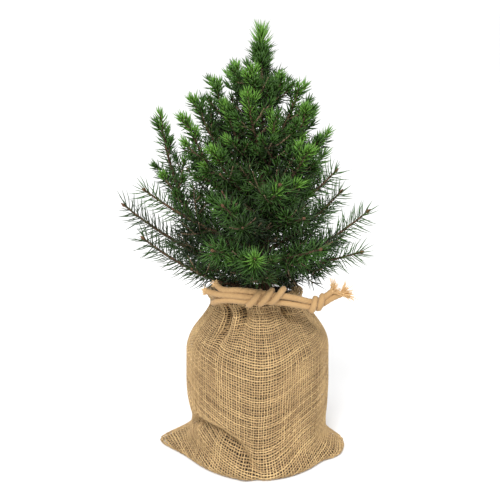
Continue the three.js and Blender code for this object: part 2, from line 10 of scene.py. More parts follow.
import bpy
import numpy as np
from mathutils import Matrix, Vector


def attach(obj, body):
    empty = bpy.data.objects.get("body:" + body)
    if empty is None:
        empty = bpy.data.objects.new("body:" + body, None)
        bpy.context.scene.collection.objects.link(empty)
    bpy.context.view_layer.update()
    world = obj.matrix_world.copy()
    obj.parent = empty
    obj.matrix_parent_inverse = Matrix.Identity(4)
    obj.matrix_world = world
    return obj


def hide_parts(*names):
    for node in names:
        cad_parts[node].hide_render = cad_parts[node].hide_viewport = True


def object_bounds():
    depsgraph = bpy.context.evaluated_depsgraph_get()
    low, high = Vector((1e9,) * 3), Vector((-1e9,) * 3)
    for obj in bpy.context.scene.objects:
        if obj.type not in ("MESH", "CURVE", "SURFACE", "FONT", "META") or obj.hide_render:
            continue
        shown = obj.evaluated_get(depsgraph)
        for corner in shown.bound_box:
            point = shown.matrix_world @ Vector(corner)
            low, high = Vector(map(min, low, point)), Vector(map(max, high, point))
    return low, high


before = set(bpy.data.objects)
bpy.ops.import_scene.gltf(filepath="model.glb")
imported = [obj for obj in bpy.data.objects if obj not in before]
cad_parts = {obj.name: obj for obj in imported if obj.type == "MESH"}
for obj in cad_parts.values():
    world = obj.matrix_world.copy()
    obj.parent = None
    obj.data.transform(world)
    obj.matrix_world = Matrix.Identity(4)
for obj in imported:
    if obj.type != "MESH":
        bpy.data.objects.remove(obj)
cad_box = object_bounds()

MM = 0.001
TAU = 2 * math.pi
DEG = math.pi / 180
UP = np.array([0.0, 0.0, 1.0])
MOST_TRIANGLES = 190000  # of one joined piece
rng = np.random.default_rng(11)

# ---------------------------------------------------------------- sizes
SACK = dict(
    body=70.5,
    neck_radius=45.0,
    shoulder=103.0,
    neck=157.0,
    top=168.5,
    hem_middle=163.5,
    hem_height=5.0,
    hem_bulge=3.0,
    turned_in=5.0,
    neck_shift=-3.0,
    slump=3.5,  # of the right shoulder, over a range of heights that it enters and leaves softly
    slump_from=(100.0, 136.0),
    slump_to=(138.0, 156.0),
    undercut=3.0,
    belly=0.8,  # swelling of the two sides at mid height
    belly_at=86.0,
    belly_tall=26.0,
    waist=4.5,  # hollow of the two sides above the ears: its mean share, and how much more it is at the left
    waist_at=31.0,
    waist_tall=15.0,
    waist_mean=0.7,
    waist_left=0.3,
)
FOOT = dict(spread=7.5, height=22.0, front=10.0, front_height=42.0, sharpness=1.6)
# turn about the axis, reach beyond the foot, half width in degrees, bluntness, height at the root
EARS = [(177.0, 25.0, 17.0, 1.6, 25.0), (-8.0, 13.0, 21.0, 4.0, 24.0)]
# turn, depth at the neck, half width in degrees, how far down the pleat runs
PLEATS = [
    (-128, 12, 6, 46),
    (-107, 13, 5.5, 36),
    (-148, 4, 7, 34),
    (-52, 8, 5, 18),
    (-72, 2.0, 7, 20),
    (-8, 4, 8, 40),
    (22, 5, 9, 40),
    (55, 7, 9, 48),
    (88, 6, 8, 42),
    (121, 7, 10, 50),
    (156, 5, 9, 38),
    (-168, 4, 7, 30),
]
WEAVE = dict(
    warps=168,
    wefts=95,
    first_weft=-4,  # counted from the crest of the hem
    pitch=2.62,
    thickness=0.55,
    wave=0.42,
    warp_fill=0.2,
    weft_fill=0.25,
    lift=37.0,
    underside=1.1,  # height of the cloth on the ground
    roll=6.5,  # how far the hem's inner side lies behind its outer one
)
# one thread: its least and greatest half width, how uneven and how straight it is, and its tone
THREAD = dict(
    narrow=0.42,
    wide=0.8,
    swelling=0.14,
    roughness=0.1,
    jitter=0.24,
    wander=0.2,
    tone=0.55,
    tone_spread=0.11,
    pale=0.15,
    pale_share=0.05,
    tone_drift=0.28,
)
# dents below the neck: turn, height, depth, half width in degrees, half height
DENTS = [(-129, 138, 8.0, 6.0, 10.0), (-53, 154, 8.0, 4.0, 5.0), (-117, 148, -3.5, 5.0, 12.0)]
# the line where the body stands on the left ear: its turns and heights, the depth and half height of its
# valley, the turns where it fades at its two ends, and the swelling of the ear below it
CREASE = dict(
    turns=(-172, -148, -121, -104, -95, -88),
    heights=(30, 40, 38, 27, 12, 4),
    depth=8.5,
    width=5.5,
    fades_in=(-176.0, -158.0),
    fades_out=(-98.0, -85.0),
    swell=3.0,
    swell_below=15.0,
    swell_tall=9.0,
)
CORD = dict(
    radius=2.95,
    squeezed=1.9,
    tunnel_radius=42.0,
    tunnel_height=162.0,
    front_radius=52.0,
    front_height=169.0,
    left_exit=-150.0,
    right_exit=-38.0,
    easing=22.0,
    plies=3,
    lay=13.0,  # length of cord in which its plies turn once
    sides=21,
)
# a knot's two ends, its turns, how tall and deep they are, how far they slant, and its points
KNOTS = dict(
    knot=([[-6.0, -56.5, 173.5], [21.5, -56.5, 177.0]], 2.55, 5.6, 5.4, 3.8, 120),
    stopper_knot=([[51.0, -50.0, 165.0], [62.5, -49.0, 169.0]], 1.75, 4.8, 4.6, 2.0, 90),
)
TRUNK = dict(
    foot=161.3,
    top=376.0,
    foot_radius=7.2,
    stem_radius=4.6,
    tip_radius=1.3,
    flare=9.0,
    foot_x=9.5,
    top_x=3.5,
    straight_from=315.0,
    buttress=0.12,
    wave=(1.5, 42.0),  # reach and length of a slight bend from front to back
)
BOUGH = dict(radius=0.9, per_length=0.014, tip=0.55, sway=0.045)
LEADER_TIP = 417.0

# Every limb: height of its foot, its turn about the trunk (0 is +X, -90 the front), the reach and height of
# its tip, how far out and up its elbow lies, and the share of its length that is a bare bough.
Limb = namedtuple("Limb", "name foot turn reach tip out up bare")
LIMBS = [
    Limb("left_low", 167, 191, 120, 223, 0.5, 0.1, 0.4),
    Limb("left_long", 177, 175, 140, 248, 0.52, 0.2, 0.36),
    Limb("left_tall", 188, 180, 101, 341, 0.85, 0.08, 0.42),
    Limb("left_mid", 205, 190, 116, 270, 0.5, 0.3, 0.34),
    Limb("left_inner", 246, 197, 77, 340, 0.62, 0.2, 0),
    Limb("left_crest", 266, 176, 65, 354, 0.62, 0.2, 0),
    Limb("left_top", 290, 170, 47, 370, 0.6, 0.2, 0),
    Limb("right_low", 176, -3, 92, 205, 0.5, 0.62, 0.36),
    Limb("right_long", 184, 1, 98, 244, 0.5, 0.35, 0.36),
    Limb("right_mid", 205, 8, 74, 262, 0.5, 0.3, 0),
    Limb("right_inner", 232, -8, 68, 286, 0.5, 0.3, 0),
    Limb("right_crest", 262, -6, 55, 317, 0.6, 0.2, 0),
    Limb("right_upper", 286, -20, 45, 345, 0.62, 0.2, 0),
    Limb("right_top", 306, 10, 35, 360, 0.62, 0.2, 0),
    Limb("front_low", 180, -97, 98, 224, 0.5, 0.45, 0.3),
    Limb("front_low_left", 195, -124, 88, 225, 0.5, 0.5, 0.3),
    Limb("front_low_right", 192, -54, 82, 224, 0.5, 0.5, 0.3),
    Limb("front_left", 212, -118, 82, 266, 0.5, 0.42, 0),
    Limb("front_right", 226, -62, 74, 253, 0.5, 0.5, 0),
    Limb("front_mid", 236, -79, 68, 284, 0.5, 0.32, 0),
    Limb("front_fill_left", 250, -140, 62, 312, 0.55, 0.3, 0),
    Limb("front_fill_right", 256, -45, 56, 310, 0.55, 0.3, 0),
    Limb("front_high_left", 282, -158, 38, 350, 0.6, 0.2, 0),
    Limb("front_high_right", 278, -72, 34, 340, 0.6, 0.2, 0),
    Limb("front_upper", 300, -112, 36, 358, 0.6, 0.2, 0),
    Limb("back_low_left", 169, 128, 108, 226, 0.5, 0.35, 0.34),
    Limb("back_low", 182, 92, 102, 222, 0.5, 0.4, 0.34),
    Limb("back_low_right", 176, 52, 104, 230, 0.5, 0.35, 0.34),
    Limb("back_mid_left", 214, 146, 92, 276, 0.52, 0.3, 0.28),
    Limb("back_mid", 208, 108, 90, 266, 0.52, 0.3, 0),
    Limb("back_mid_right", 216, 66, 86, 274, 0.52, 0.3, 0.28),
    Limb("back_fill_right", 238, 32, 72, 296, 0.52, 0.3, 0),
    Limb("back_upper_left", 258, 134, 62, 322, 0.56, 0.26, 0),
    Limb("back_upper", 246, 88, 64, 312, 0.56, 0.26, 0),
    Limb("back_upper_right", 270, 48, 52, 334, 0.56, 0.26, 0),
    Limb("back_crest", 290, 104, 42, 352, 0.58, 0.24, 0),
    Limb("crest_left", 326, 192, 25, 386, 0.62, 0.25, 0),
    Limb("crest_front", 332, -110, 28, 384, 0.6, 0.25, 0),
    Limb("crest_right", 328, -22, 18, 374, 0.6, 0.25, 0),
    Limb("crest_back", 334, 82, 25, 382, 0.6, 0.25, 0),
]

CLEAR = dict(
    trunk=1.2,
    sack_top=173.0,
    sack_radius=62.0,
    mouth=38.0,
    mouth_floor=164.0,
    skirt=160.0,
    overlap=9.0,
    needle_overlap=13.0,
    cord_front=-38.0,
    cord_top=186.0,
    cord_middle=15.0,
    cord_half=85.0,
    before_box=2.0,
    past_box=4.0,
)
# the crown by height of a limb's tip: where limbs begin and end to grow fresh shoots, the highest one that
# spreads to the side, the lowest one in the crest, and the lowest foot and tip of one with no hanging twigs
HEIGHTS = dict(fresh=(262.0, 336.0), aside=300.0, crest=371.0, hanging_foot=215.0, hanging_tip=270.0)
NEEDLE = dict(
    length=18.0,  # of an older needle low in the crown
    shorter=6.0,  # by how much those at the top are
    on_stem=1.15,  # share of that length on a limb's stem
    fresh=0.84,  # and on a fresh shoot
    on_leader=16.5,  # length of a fresh needle on the leader
    old_width=0.53,
    new_width=0.62,
    sunk=0.4,
    golden=137.5 * DEG,
    curl=0.22,
    curl_spread=0.12,
)
# lean off the twig in degrees: at its tip, how much more further back, and from which distance on
LEAN = dict(old=(36, 26, 9), new=(24, 26, 12), leader=(24, 38, 20), spread=8)
SPACING = dict(stem=0.64, old=0.92, new=0.44, leader=0.26)  # length of twig to each needle
# kinds of side twig: their splay off the parent in degrees, how far they bend upwards as a share of their
# length, and the radius of their foot
Kind = namedtuple("Kind", "splay lift radius")
SIDE, FINER, BRUSH = Kind((34, 54), 0.22, 1.0), Kind((35, 55), 0.2, 0.8), Kind((24, 36), 0.35, 0.8)
HANGING, SPIRAL = Kind((50, 80), 0.05, 0.8), Kind((20, 34), 0.3, 0.8)
GROWTH = dict(
    steps=30,  # points of a stem
    stem_tip=0.8,  # radius of its tip
    first=0.1,  # least share of the stem before the first side twig
    ends=dict(aside=0.5, other=0.68),  # share of the stem where side twigs end
    apart=dict(aside=9.5, other=7.5),  # length of stem to each
    least=12.0,  # a side twig's reach: its least, its share of the limb's length, and the longest that counts
    per_length=0.42,
    longest=110.0,
    finer_apart=17.0,  # length of a side twig to each finer one
    finer_reach=(10, 20),
    crest_reach=(12, 17),
    brush_reach=(9, 14),
    hanging_reach=(16, 28),
    brush_run=10.0,  # length of fresh shoot on the twigs of a brush
)
BUD = dict(rings=7, sides=8, length=(4.6, 6.0), width=(1.6, 2.1), lesser=0.75, lean=0.75, sunk=0.8)
BRIGHT = ("front_low",)  # low limbs that end in fresh needles all the same


# ---------------------------------------------------------------- numbers
def smooth(a, b, x):
    """0 below a, 1 above b, and t * t * (3 - 2 * t) between."""
    t = np.clip((np.asarray(x, float) - a) / (b - a), 0, 1)
    return t * t * (3 - 2 * t)


def wrap(angle):
    """The same direction as an angle between -pi and pi."""
    return np.arctan2(np.sin(angle), np.cos(angle))


def unit(v):
    """Vectors divided by their lengths."""
    return v / np.maximum(np.linalg.norm(v, axis=-1, keepdims=True), 1e-9)


def ripple(u, v, seed=0.0):
    """Uneven relief between about -1 and 1: a sum of crossed sine waves, each finer and weaker."""
    total = np.zeros(np.broadcast(u, v).shape)
    for k, (a, b) in enumerate([(1.0, 0.7), (-1.7, 2.3), (3.1, 1.9), (-4.3, 5.1)]):
        total += np.sin(a * u + b * v + seed * (k + 1.3) + 2.1 * k) / (1 + 0.7 * k)
    return total / 2.2


def run_along(line):
    """Distance along a line of (n, 3) points, at each of them."""
    return np.concatenate([[0], np.cumsum(np.linalg.norm(np.diff(line, axis=0), axis=1))])


def points_at(line, run, wanted):
    """The points of a line at the wanted distances along it."""
    return np.stack([np.interp(wanted, run, line[:, k]) for k in range(3)], -1)


# ---------------------------------------------------------------- meshes
def add_mesh(name, points, faces, material, attributes=None):
    """A mesh from (n, 3) points in millimetres and a list of (m, k) arrays of corner numbers."""
    mesh = bpy.data.meshes.new(name)
    mesh.vertices.add(len(points))
    mesh.vertices.foreach_set("co", (points * MM).astype(np.float32).ravel())
    sizes = np.concatenate([np.full(len(f), f.shape[1]) for f in faces])
    corners = np.concatenate([f.ravel() for f in faces])
    mesh.loops.add(len(corners))
    mesh.loops.foreach_set("vertex_index", corners.astype(np.int32))
    mesh.polygons.add(len(sizes))
    starts = np.concatenate([[0], np.cumsum(sizes)[:-1]])
    mesh.polygons.foreach_set("loop_start", starts.astype(np.int32))
    mesh.polygons.foreach_set("loop_total", sizes.astype(np.int32))
    mesh.polygons.foreach_set("use_smooth", np.full(len(sizes), True))
    mesh.update(calc_edges=True)
    for key, values in (attributes or {}).items():
        data = mesh.attributes.new(key, "FLOAT", "POINT")
        data.data.foreach_set("value", values.astype(np.float32).ravel())
    mesh.materials.append(material)
    piece = bpy.data.objects.new(name, mesh)
    bpy.context.scene.collection.objects.link(piece)
    return piece


def tube_faces(tubes, rings, sides, closed=False):
    """Corner numbers of tubes laid out as (tubes, rings, sides) points: quads round each tube, and fans of
    triangles on the two ends of an open one."""
    t = np.arange(tubes)[:, None, None] * rings * sides
    i = np.arange(rings if closed else rings - 1)[None, :, None]
    k = np.arange(sides)[None, None, :]
    here, there = i * sides, ((i + 1) % rings) * sides
    after = (k + 1) % sides
    quads = np.stack([t + here + k, t + here + after, t + there + after, t + there + k], -1).reshape(-1, 4)
    if closed:
        return [quads]
    k = np.arange(1, sides - 1)
    first = np.stack([k * 0, k + 1, k], -1)
    last = (rings - 1) * sides + np.stack([k * 0, k, k + 1], -1)
    caps = (t + np.concatenate([first, last])[None]).reshape(-1, 3)
    return [quads, caps]


def tube_points(paths, radius, sides, up=UP, flat=1.0):
    """Rings of points round each of (tubes, rings, 3) paths, whose normal leans to up:
    path + radius * (flat * cos(a) * normal + sin(a) * side)."""
    tangent = unit(np.gradient(paths, axis=1))
    lean = np.broadcast_to(up, paths.shape)
    lean = np.where(np.abs((tangent * lean).sum(-1, keepdims=True)) > 0.98, np.array([1.0, 0, 0]), lean)
    normal = unit(lean - tangent * (tangent * lean).sum(-1, keepdims=True))
    side = np.cross(tangent, normal)
    angle = np.arange(sides) * TAU / sides
    r = np.asarray(radius)[..., None, None]
    across = r * np.cos(angle)[:, None] * normal[..., None, :] * flat
    along = r * np.sin(angle)[:, None] * side[..., None, :]
    return paths[..., None, :] + across + along


# ---------------------------------------------------------------- materials
class Value:
    """A socket of a material; arithmetic on it adds Math nodes."""

    def __init__(self, finish, socket):
        self.finish, self.socket = finish, socket

    def math(self, operation, *others):
        return self.finish.node("ShaderNodeMath", {"operation": operation}, [self, *others])

    def __add__(self, other):
        return self.math("ADD", other)

    def __mul__(self, other):
        return self.math("MULTIPLY", other)

    __radd__, __rmul__ = __add__, __mul__


class Finish:
    """A material with one Principled shader, whose constants are set on its own sockets."""

    def __init__(self, name, **constants):
        self.material = bpy.data.materials.new(name)
        self.material.use_nodes = True
        self.tree = self.material.node_tree
        self.shader = self.tree.nodes["Principled BSDF"]
        for key, value in constants.items():
            self.shader.inputs[key.replace("_", " ").title().replace("Ior", "IOR")].default_value = value

    def node(self, kind, settings, inputs, output=0):
        """Any node: its settings first, then the values or links of its sockets, by name or in order."""
        made = self.tree.nodes.new(kind)
        for key, value in settings.items():
            setattr(made, key, value)
        pairs = inputs.items() if isinstance(inputs, dict) else enumerate(inputs)
        for key, value in pairs:
            if isinstance(value, Value):
                self.tree.links.new(value.socket, made.inputs[key])
            else:
                made.inputs[key].default_value = value
        return Value(self, made.outputs[output])

    def place(self):
        return self.node("ShaderNodeTexCoord", {}, {}, "Object")

    def noise(self, scale, detail=3.0, stretch=(1, 1, 1)):
        """Noise over the object, with a size of 1 / scale in metres, drawn out by a stretch."""
        place = self.node("ShaderNodeMapping", {}, {"Vector": self.place(), "Scale": stretch})
        return self.node("ShaderNodeTexNoise", {}, {"Vector": place, "Scale": scale, "Detail": detail}, "Fac")

    def attribute(self, name):
        return self.node("ShaderNodeAttribute", {"attribute_name": name}, {}, "Fac")

    def mix(self, factor, a, b):
        """A colour between a and b."""
        made = self.tree.nodes.new("ShaderNodeMix")
        made.data_type = "RGBA"
        for socket, value in ((made.inputs[0], factor), (made.inputs[6], a), (made.inputs[7], b)):
            if isinstance(value, Value):
                self.tree.links.new(value.socket, socket)
            else:
                socket.default_value = value
        return Value(self, made.outputs[2])

    def sharpen(self, value, low, high):
        """0 below low and 1 above high."""
        return self.node("ShaderNodeMapRange", {}, {"Value": value, "From Min": low, "From Max": high})

    def feed(self, socket, value):
        self.tree.links.new(value.socket, self.shader.inputs[socket])

    def bump(self, height, depth):
        """Relief of a depth in millimetres."""
        inputs = {"Height": height, "Distance": depth * MM, "Strength": 1.0}
        self.feed("Normal", self.node("ShaderNodeBump", {}, inputs))


def rgb(red, green, blue):
    """Linear colour of a display colour from 0 to 255."""
    shares = [c / 255 for c in (red, green, blue)]
    return tuple(((c + 0.055) / 1.055) ** 2.4 if c > 0.04 else c / 12.92 for c in shares) + (1.0,)


def jute_finish():
    """Jute: thread by thread lighter or browner, with fine fibres and a dull sheen."""
    finish = Finish("jute", roughness=0.88, sheen_weight=0.12, sheen_roughness=0.5)
    tone = finish.attribute("tone")
    patch = finish.noise(24.0, 2.0)
    fibre = finish.noise(1700.0, 3.0)
    pale, brown = rgb(206, 174, 122), rgb(120, 90, 52)
    colour = finish.mix(finish.sharpen(tone * 0.8 + patch * 0.22, 0.15, 0.8), brown, pale)
    finish.feed("Base Color", finish.mix(finish.sharpen(fibre, 0.55, 0.75) * 0.35, colour, rgb(110, 78, 44)))
    finish.bump(fibre, 0.12)
    return finish.material


def cord_finish():
    """Pale cotton cord with fine fibres."""
    finish = Finish("cord", roughness=0.82, sheen_weight=0.15, sheen_roughness=0.5)
    fibre = finish.noise(1500.0, 3.0)
    patch = finish.noise(60.0, 2.0)
    colour = finish.mix(patch, rgb(150, 116, 74), rgb(182, 148, 100))
    finish.feed("Base Color", finish.mix(finish.sharpen(fibre, 0.5, 0.8) * 0.35, colour, rgb(128, 94, 58)))
    finish.bump(fibre, 0.15)
    return finish.material


def soil_finish():
    """Dark moist soil with paler roots and specks."""
    finish = Finish("soil", roughness=0.95)
    grain = finish.noise(420.0, 4.0)
    speck = finish.noise(900.0, 2.0)
    colour = finish.mix(grain, rgb(26, 17, 10), rgb(58, 40, 25))
    finish.feed("Base Color", finish.mix(finish.sharpen(speck, 0.62, 0.72) * 0.6, colour, rgb(120, 92, 60)))
    finish.bump(grain, 0.9)
    return finish.material


def bark_finish(name, dark, pale, scale):
    """Bark: dark in its cracks, paler on its scales, streaked along the limb."""
    finish = Finish(name, roughness=0.9)
    streak = finish.noise(scale, 4.0, (1, 1, 0.35))
    speck = finish.noise(scale * 3, 3.0)
    colour = finish.mix(finish.sharpen(streak, 0.35, 0.68), dark, pale)
    finish.feed("Base Color", finish.mix(finish.sharpen(speck, 0.58, 0.74) * 0.5, colour, dark))
    finish.bump(streak, 0.35)
    return finish.material


def needle_finish(name, colour):
    """One plain green, dealt out by spray, with a slight wax sheen."""
    return Finish(name, base_color=colour, roughness=0.42, specular_ior_level=0.32).material


def dress(piece, slot, *replaced):
    """Ties a piece to the plant's one body and hides the nodes it stands for. The slot is not used."""
    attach(piece, "root")
    if replaced:
        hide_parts(*replaced)


# ---------------------------------------------------------------- sack surface
def near_ground(z, height):
    """1 on the ground, falling to 0 at a height."""
    return (1 - smooth(0, height, z)) ** FOOT["sharpness"]


def sack_radius(turn, z):
    """Distance of the cloth from the axis: the filled body drawn in to a neck, spread at the foot and into
    two corner ears, swollen and hollowed at its sides, less the pleats and dents below the neck, plus the
    roll of the hem."""
    drawn = smooth(SACK["shoulder"], SACK["neck"], z)
    r = SACK["body"] + (SACK["neck_radius"] - SACK["body"]) * drawn**1.25
    r = r - SACK["undercut"] * (1 - smooth(0, 4, z))
    r = r + FOOT["spread"] * near_ground(z, FOOT["height"])
    r = r + FOOT["front"] * np.maximum(0, -np.sin(turn)) ** 4 * near_ground(z, FOOT["front_height"])
    slumped = smooth(*SACK["slump_from"], z) * (1 - smooth(*SACK["slump_to"], z))
    r = r + SACK["slump"] * np.maximum(0, np.cos(turn)) * slumped
    sides = np.cos(turn) ** 2
    r = r + sides * SACK["belly"] * np.exp(-(((z - SACK["belly_at"]) / SACK["belly_tall"]) ** 2))
    leftward = SACK["waist_mean"] - SACK["waist_left"] * np.cos(turn)
    r = r - sides * SACK["waist"] * leftward * np.exp(-(((z - SACK["waist_at"]) / SACK["waist_tall"]) ** 2))
    for ear_turn, reach, width, blunt, height in EARS:
        across = np.abs(wrap(turn - ear_turn * DEG)) / (width * DEG)
        r = r + reach * near_ground(z, height) * np.exp(-(across**blunt))
    for pleat_turn, depth, width, run in PLEATS:
        across = wrap(turn - pleat_turn * DEG) / (width * DEG)
        above = 1 - 0.7 * smooth(SACK["neck"], SACK["neck"] + 8, z)
        hold = np.where(z > SACK["neck"], above, 1 - smooth(0, run, SACK["neck"] - z))
        r = r - depth * hold * np.exp(-(across**2))
    r = r + SACK["hem_bulge"] * np.exp(-(((z - SACK["hem_middle"]) / SACK["hem_height"]) ** 2))
    r = r - SACK["turned_in"] * smooth(SACK["top"] - 3, SACK["top"], z)
    for dent_turn, height, depth, width, tall in DENTS:
        across = wrap(turn - dent_turn * DEG) / (width * DEG)
        r = r - depth * np.exp(-(across**2) - ((z - height) / tall) ** 2)
    return r + crease(turn, z) + folds(turn, z)


def crease(turn, z):
    """The sharp valley where the wall of the body meets the left ear, with the ear swelling below it: two
    bells, -depth * exp(-((z - line) / width) ** 2) and a wider one lower down, faded out at both ends."""
    degrees = wrap(turn) / DEG
    line = np.interp(degrees, CREASE["turns"], CREASE["heights"])
    hold = smooth(*CREASE["fades_in"], degrees) * (1 - smooth(*CREASE["fades_out"], degrees))
    valley = CREASE["depth"] * np.exp(-(((z - line) / CREASE["width"]) ** 2))
    swelling = np.exp(-(((z - line + CREASE["swell_below"]) / CREASE["swell_tall"]) ** 2))
    return hold * (CREASE["swell"] * swelling * smooth(0, 4, z) - valley)


def folds(turn, z):
    """Soft creases of the cloth: long slack folds on the body by two ripples, and under the neck 23 fine ones
    by a sine wave round the turn, whose pitch varies."""
    body = smooth(0, 30, z) * (1 - smooth(120, 150, z))
    slack = 0.9 * ripple(2 * turn, z / 40, 1.0) + 0.3 * ripple(3 * turn + z / 30, z / 15, 4.0)
    gather = smooth(125, 150, z) * (1 - smooth(158, 168, z))
    return slack * body + 0.8 * np.sin(23 * turn + 1.5 * np.sin(3 * turn)) * gather


def neck_shift(z):
    """How far the cloth is drawn along X at a height: nothing on the body, and all of it above the neck."""
    return SACK["neck_shift"] * smooth(SACK["neck"] - 8, SACK["neck"] + 6, z)


def on_sack(turn, z):
    """The point of the cloth at a turn and a height: (shift + r * cos(turn), r * sin(turn), z)."""
    r = sack_radius(turn, z)
    return np.stack([neck_shift(z) + r * np.cos(turn), r * np.sin(turn), z + 0 * turn], -1)


def warp_turns():
    """The turn of each warp thread up the sack: even round the neck, and spread by length round the foot, so
    that more of them run out into the two ears."""
    seams = [EARS[0][0] - 360, EARS[1][0], EARS[0][0]]
    half = WEAVE["warps"] // 2
    edge_height = 7.0
    low, high = [], []
    for start, end in zip(seams, seams[1:]):
        fine = np.linspace(start, end, 721) * DEG
        run = run_along(on_sack(fine, np.full_like(fine, edge_height)))
        share = (np.arange(half) + 0.5) / half
        low.append(np.interp(share * run[-1], run, fine))
        high.append(fine[0] + share * (fine[-1] - fine[0]))
    return np.concatenate(low), np.concatenate(high)


def warp_paths():
    """Fine lines down the cloth at each warp: up inside the mouth, over the hem, down the wall, and in under
    the foot, with their lengths measured from the crest of the hem and evened out between neighbours."""
    low, high = warp_turns()
    top, ground = SACK["top"], WEAVE["underside"]
    inner = np.linspace(top - 15, top - 3, 7)
    over = np.linspace(top - 3, top, 5)[1:]
    wall = np.concatenate([np.linspace(top - 0.2, 30, 110), np.linspace(29, ground, 40)])
    floor = np.full(20, ground)
    z_fine = np.concatenate([inner, over, wall, floor])
    rolled = WEAVE["roll"] * np.cos(np.linspace(0, 1, len(over)) * math.pi / 2) ** 0.5
    inside = np.concatenate([np.full(len(inner), WEAVE["roll"]), rolled, np.zeros(len(wall) + len(floor))])
    under = np.concatenate([np.zeros(len(z_fine) - len(floor)), np.linspace(3, 66, len(floor))])
    share = smooth(0, 120, z_fine)[:, None]
    turn = low[None, :] * (1 - share) + high[None, :] * share
    z = np.broadcast_to(z_fine[:, None], turn.shape)
    r = sack_radius(turn, z) - inside[:, None] - under[:, None]
    points = np.stack([neck_shift(z) + r * np.cos(turn), r * np.sin(turn), z], -1)
    step = np.linalg.norm(np.diff(points, axis=0), axis=2)
    length = np.concatenate([np.zeros((1, points.shape[1])), np.cumsum(step, axis=0)])
    near = np.arange(-18, 19)
    weight = np.exp(-((near / 7) ** 2))
    length = sum(w * np.roll(length, k, axis=1) for w, k in zip(weight / weight.sum(), near))
    crest = len(inner) + len(over) - 1
    return points, length - length[crest]


def cloth_grid():
    """Where each warp crosses each weft: (wefts, warps, 3). The wefts hang lower at the front and back than
    at the two sides, as cloth cut square does on a round ball."""
    points, length = warp_paths()
    wefts = np.arange(WEAVE["wefts"]) + WEAVE["first_weft"]
    wefts = (wefts + rng.uniform(-0.1, 0.1, WEAVE["wefts"])) * WEAVE["pitch"]
    seam_turn = np.linspace(0, TAU, points.shape[1], endpoint=False)
    side = np.cos(seam_turn) ** 2
    lift = WEAVE["lift"] * smooth(10, 130, wefts)[:, None] * side[None, :]
    wanted = wefts[:, None] - lift
    grid = np.empty(wanted.shape + (3,))
    for warp in range(points.shape[1]):
        for axis in range(3):
            grid[:, warp, axis] = np.interp(wanted[:, warp], length[:, warp], points[:, warp, axis])
    return grid


def cloth_normals(grid):
    """Outward normals of the cloth, from its two directions."""
    down = np.gradient(grid, axis=0)
    round_ = np.roll(grid, -1, axis=1) - np.roll(grid, 1, axis=1)
    return unit(np.cross(down, round_))


def refine(grid, axis, closed):
    """The grid with a point halfway between each two neighbours along an axis."""
    grid = np.moveaxis(grid, axis, 0)
    following = np.roll(grid, -1, axis=0)
    both = np.stack([grid, (grid + following) / 2], axis=1).reshape((-1,) + grid.shape[1:])
    return np.moveaxis(both if closed else both[:-1], 0, axis)


def make_threads(name, grid, normals, along_wefts, material):
    """Flat threads of a plain weave: each passes over and under its neighbours by a cosine wave, with an
    uneven width and a slight wander."""
    axis = 1 if along_wefts else 0
    lines = refine(grid, axis, along_wefts)
    out = unit(refine(normals, axis, along_wefts))
    if not along_wefts:
        lines, out = np.swapaxes(lines, 0, 1), np.swapaxes(out, 0, 1)
    threads, rings = lines.shape[:2]
    wave = np.cos(math.pi * (np.arange(rings) / 2)[None] + math.pi * (np.arange(threads) % 2)[:, None])
    wave = wave * (-1 if along_wefts else 1)
    gap = np.linalg.norm(np.roll(lines, -1, axis=0) - lines, axis=2)
    gap[-1] = gap[-2]
    phase = rng.uniform(0, TAU, (threads, 1))
    at = np.arange(rings)[None]
    uneven = 1 + THREAD["swelling"] * ripple(phase * 3, at * 0.21 + phase)
    uneven = uneven + rng.normal(0, THREAD["roughness"], (threads, rings))
    fill = WEAVE["weft_fill" if along_wefts else "warp_fill"]
    width = np.clip(gap * fill, THREAD["narrow"], THREAD["wide"]) * uneven
    width = width * rng.uniform(0.93, 1.07, (threads, 1))
    side = unit(np.cross(out, np.gradient(lines, axis=1)))
    jitter = rng.normal(0, THREAD["jitter"], (threads, rings))
    jitter = 0.5 * jitter + 0.25 * (np.roll(jitter, 1, axis=1) + np.roll(jitter, -1, axis=1))
    wander = THREAD["wander"] * ripple(at * 0.13 + phase * 5, phase * 2) + jitter
    lines = lines + out * (wave * WEAVE["wave"])[..., None] + side * wander[..., None]
    tone = rng.normal(THREAD["tone"], THREAD["tone_spread"], threads)[:, None]
    tone = tone + THREAD["pale"] * (rng.random((threads, 1)) < THREAD["pale_share"])
    tone = np.clip(tone + THREAD["tone_drift"] * ripple(at * 0.07, phase), 0, 1)
    sides = 4
    points = tube_points(lines, width, sides, out, WEAVE["thickness"])
    tones = np.repeat(tone[..., None], sides, 2)
    pieces = []
    count = math.ceil(threads * rings * 2 * sides / MOST_TRIANGLES)
    for n, part in enumerate(np.array_split(np.arange(threads), count)):
        faces = tube_faces(len(part), rings, sides, along_wefts)
        flat = points[part].reshape(-1, 3)
        pieces.append(add_mesh(f"{name}_{n + 1}", flat, faces, material, {"tone": tones[part]}))
    return pieces


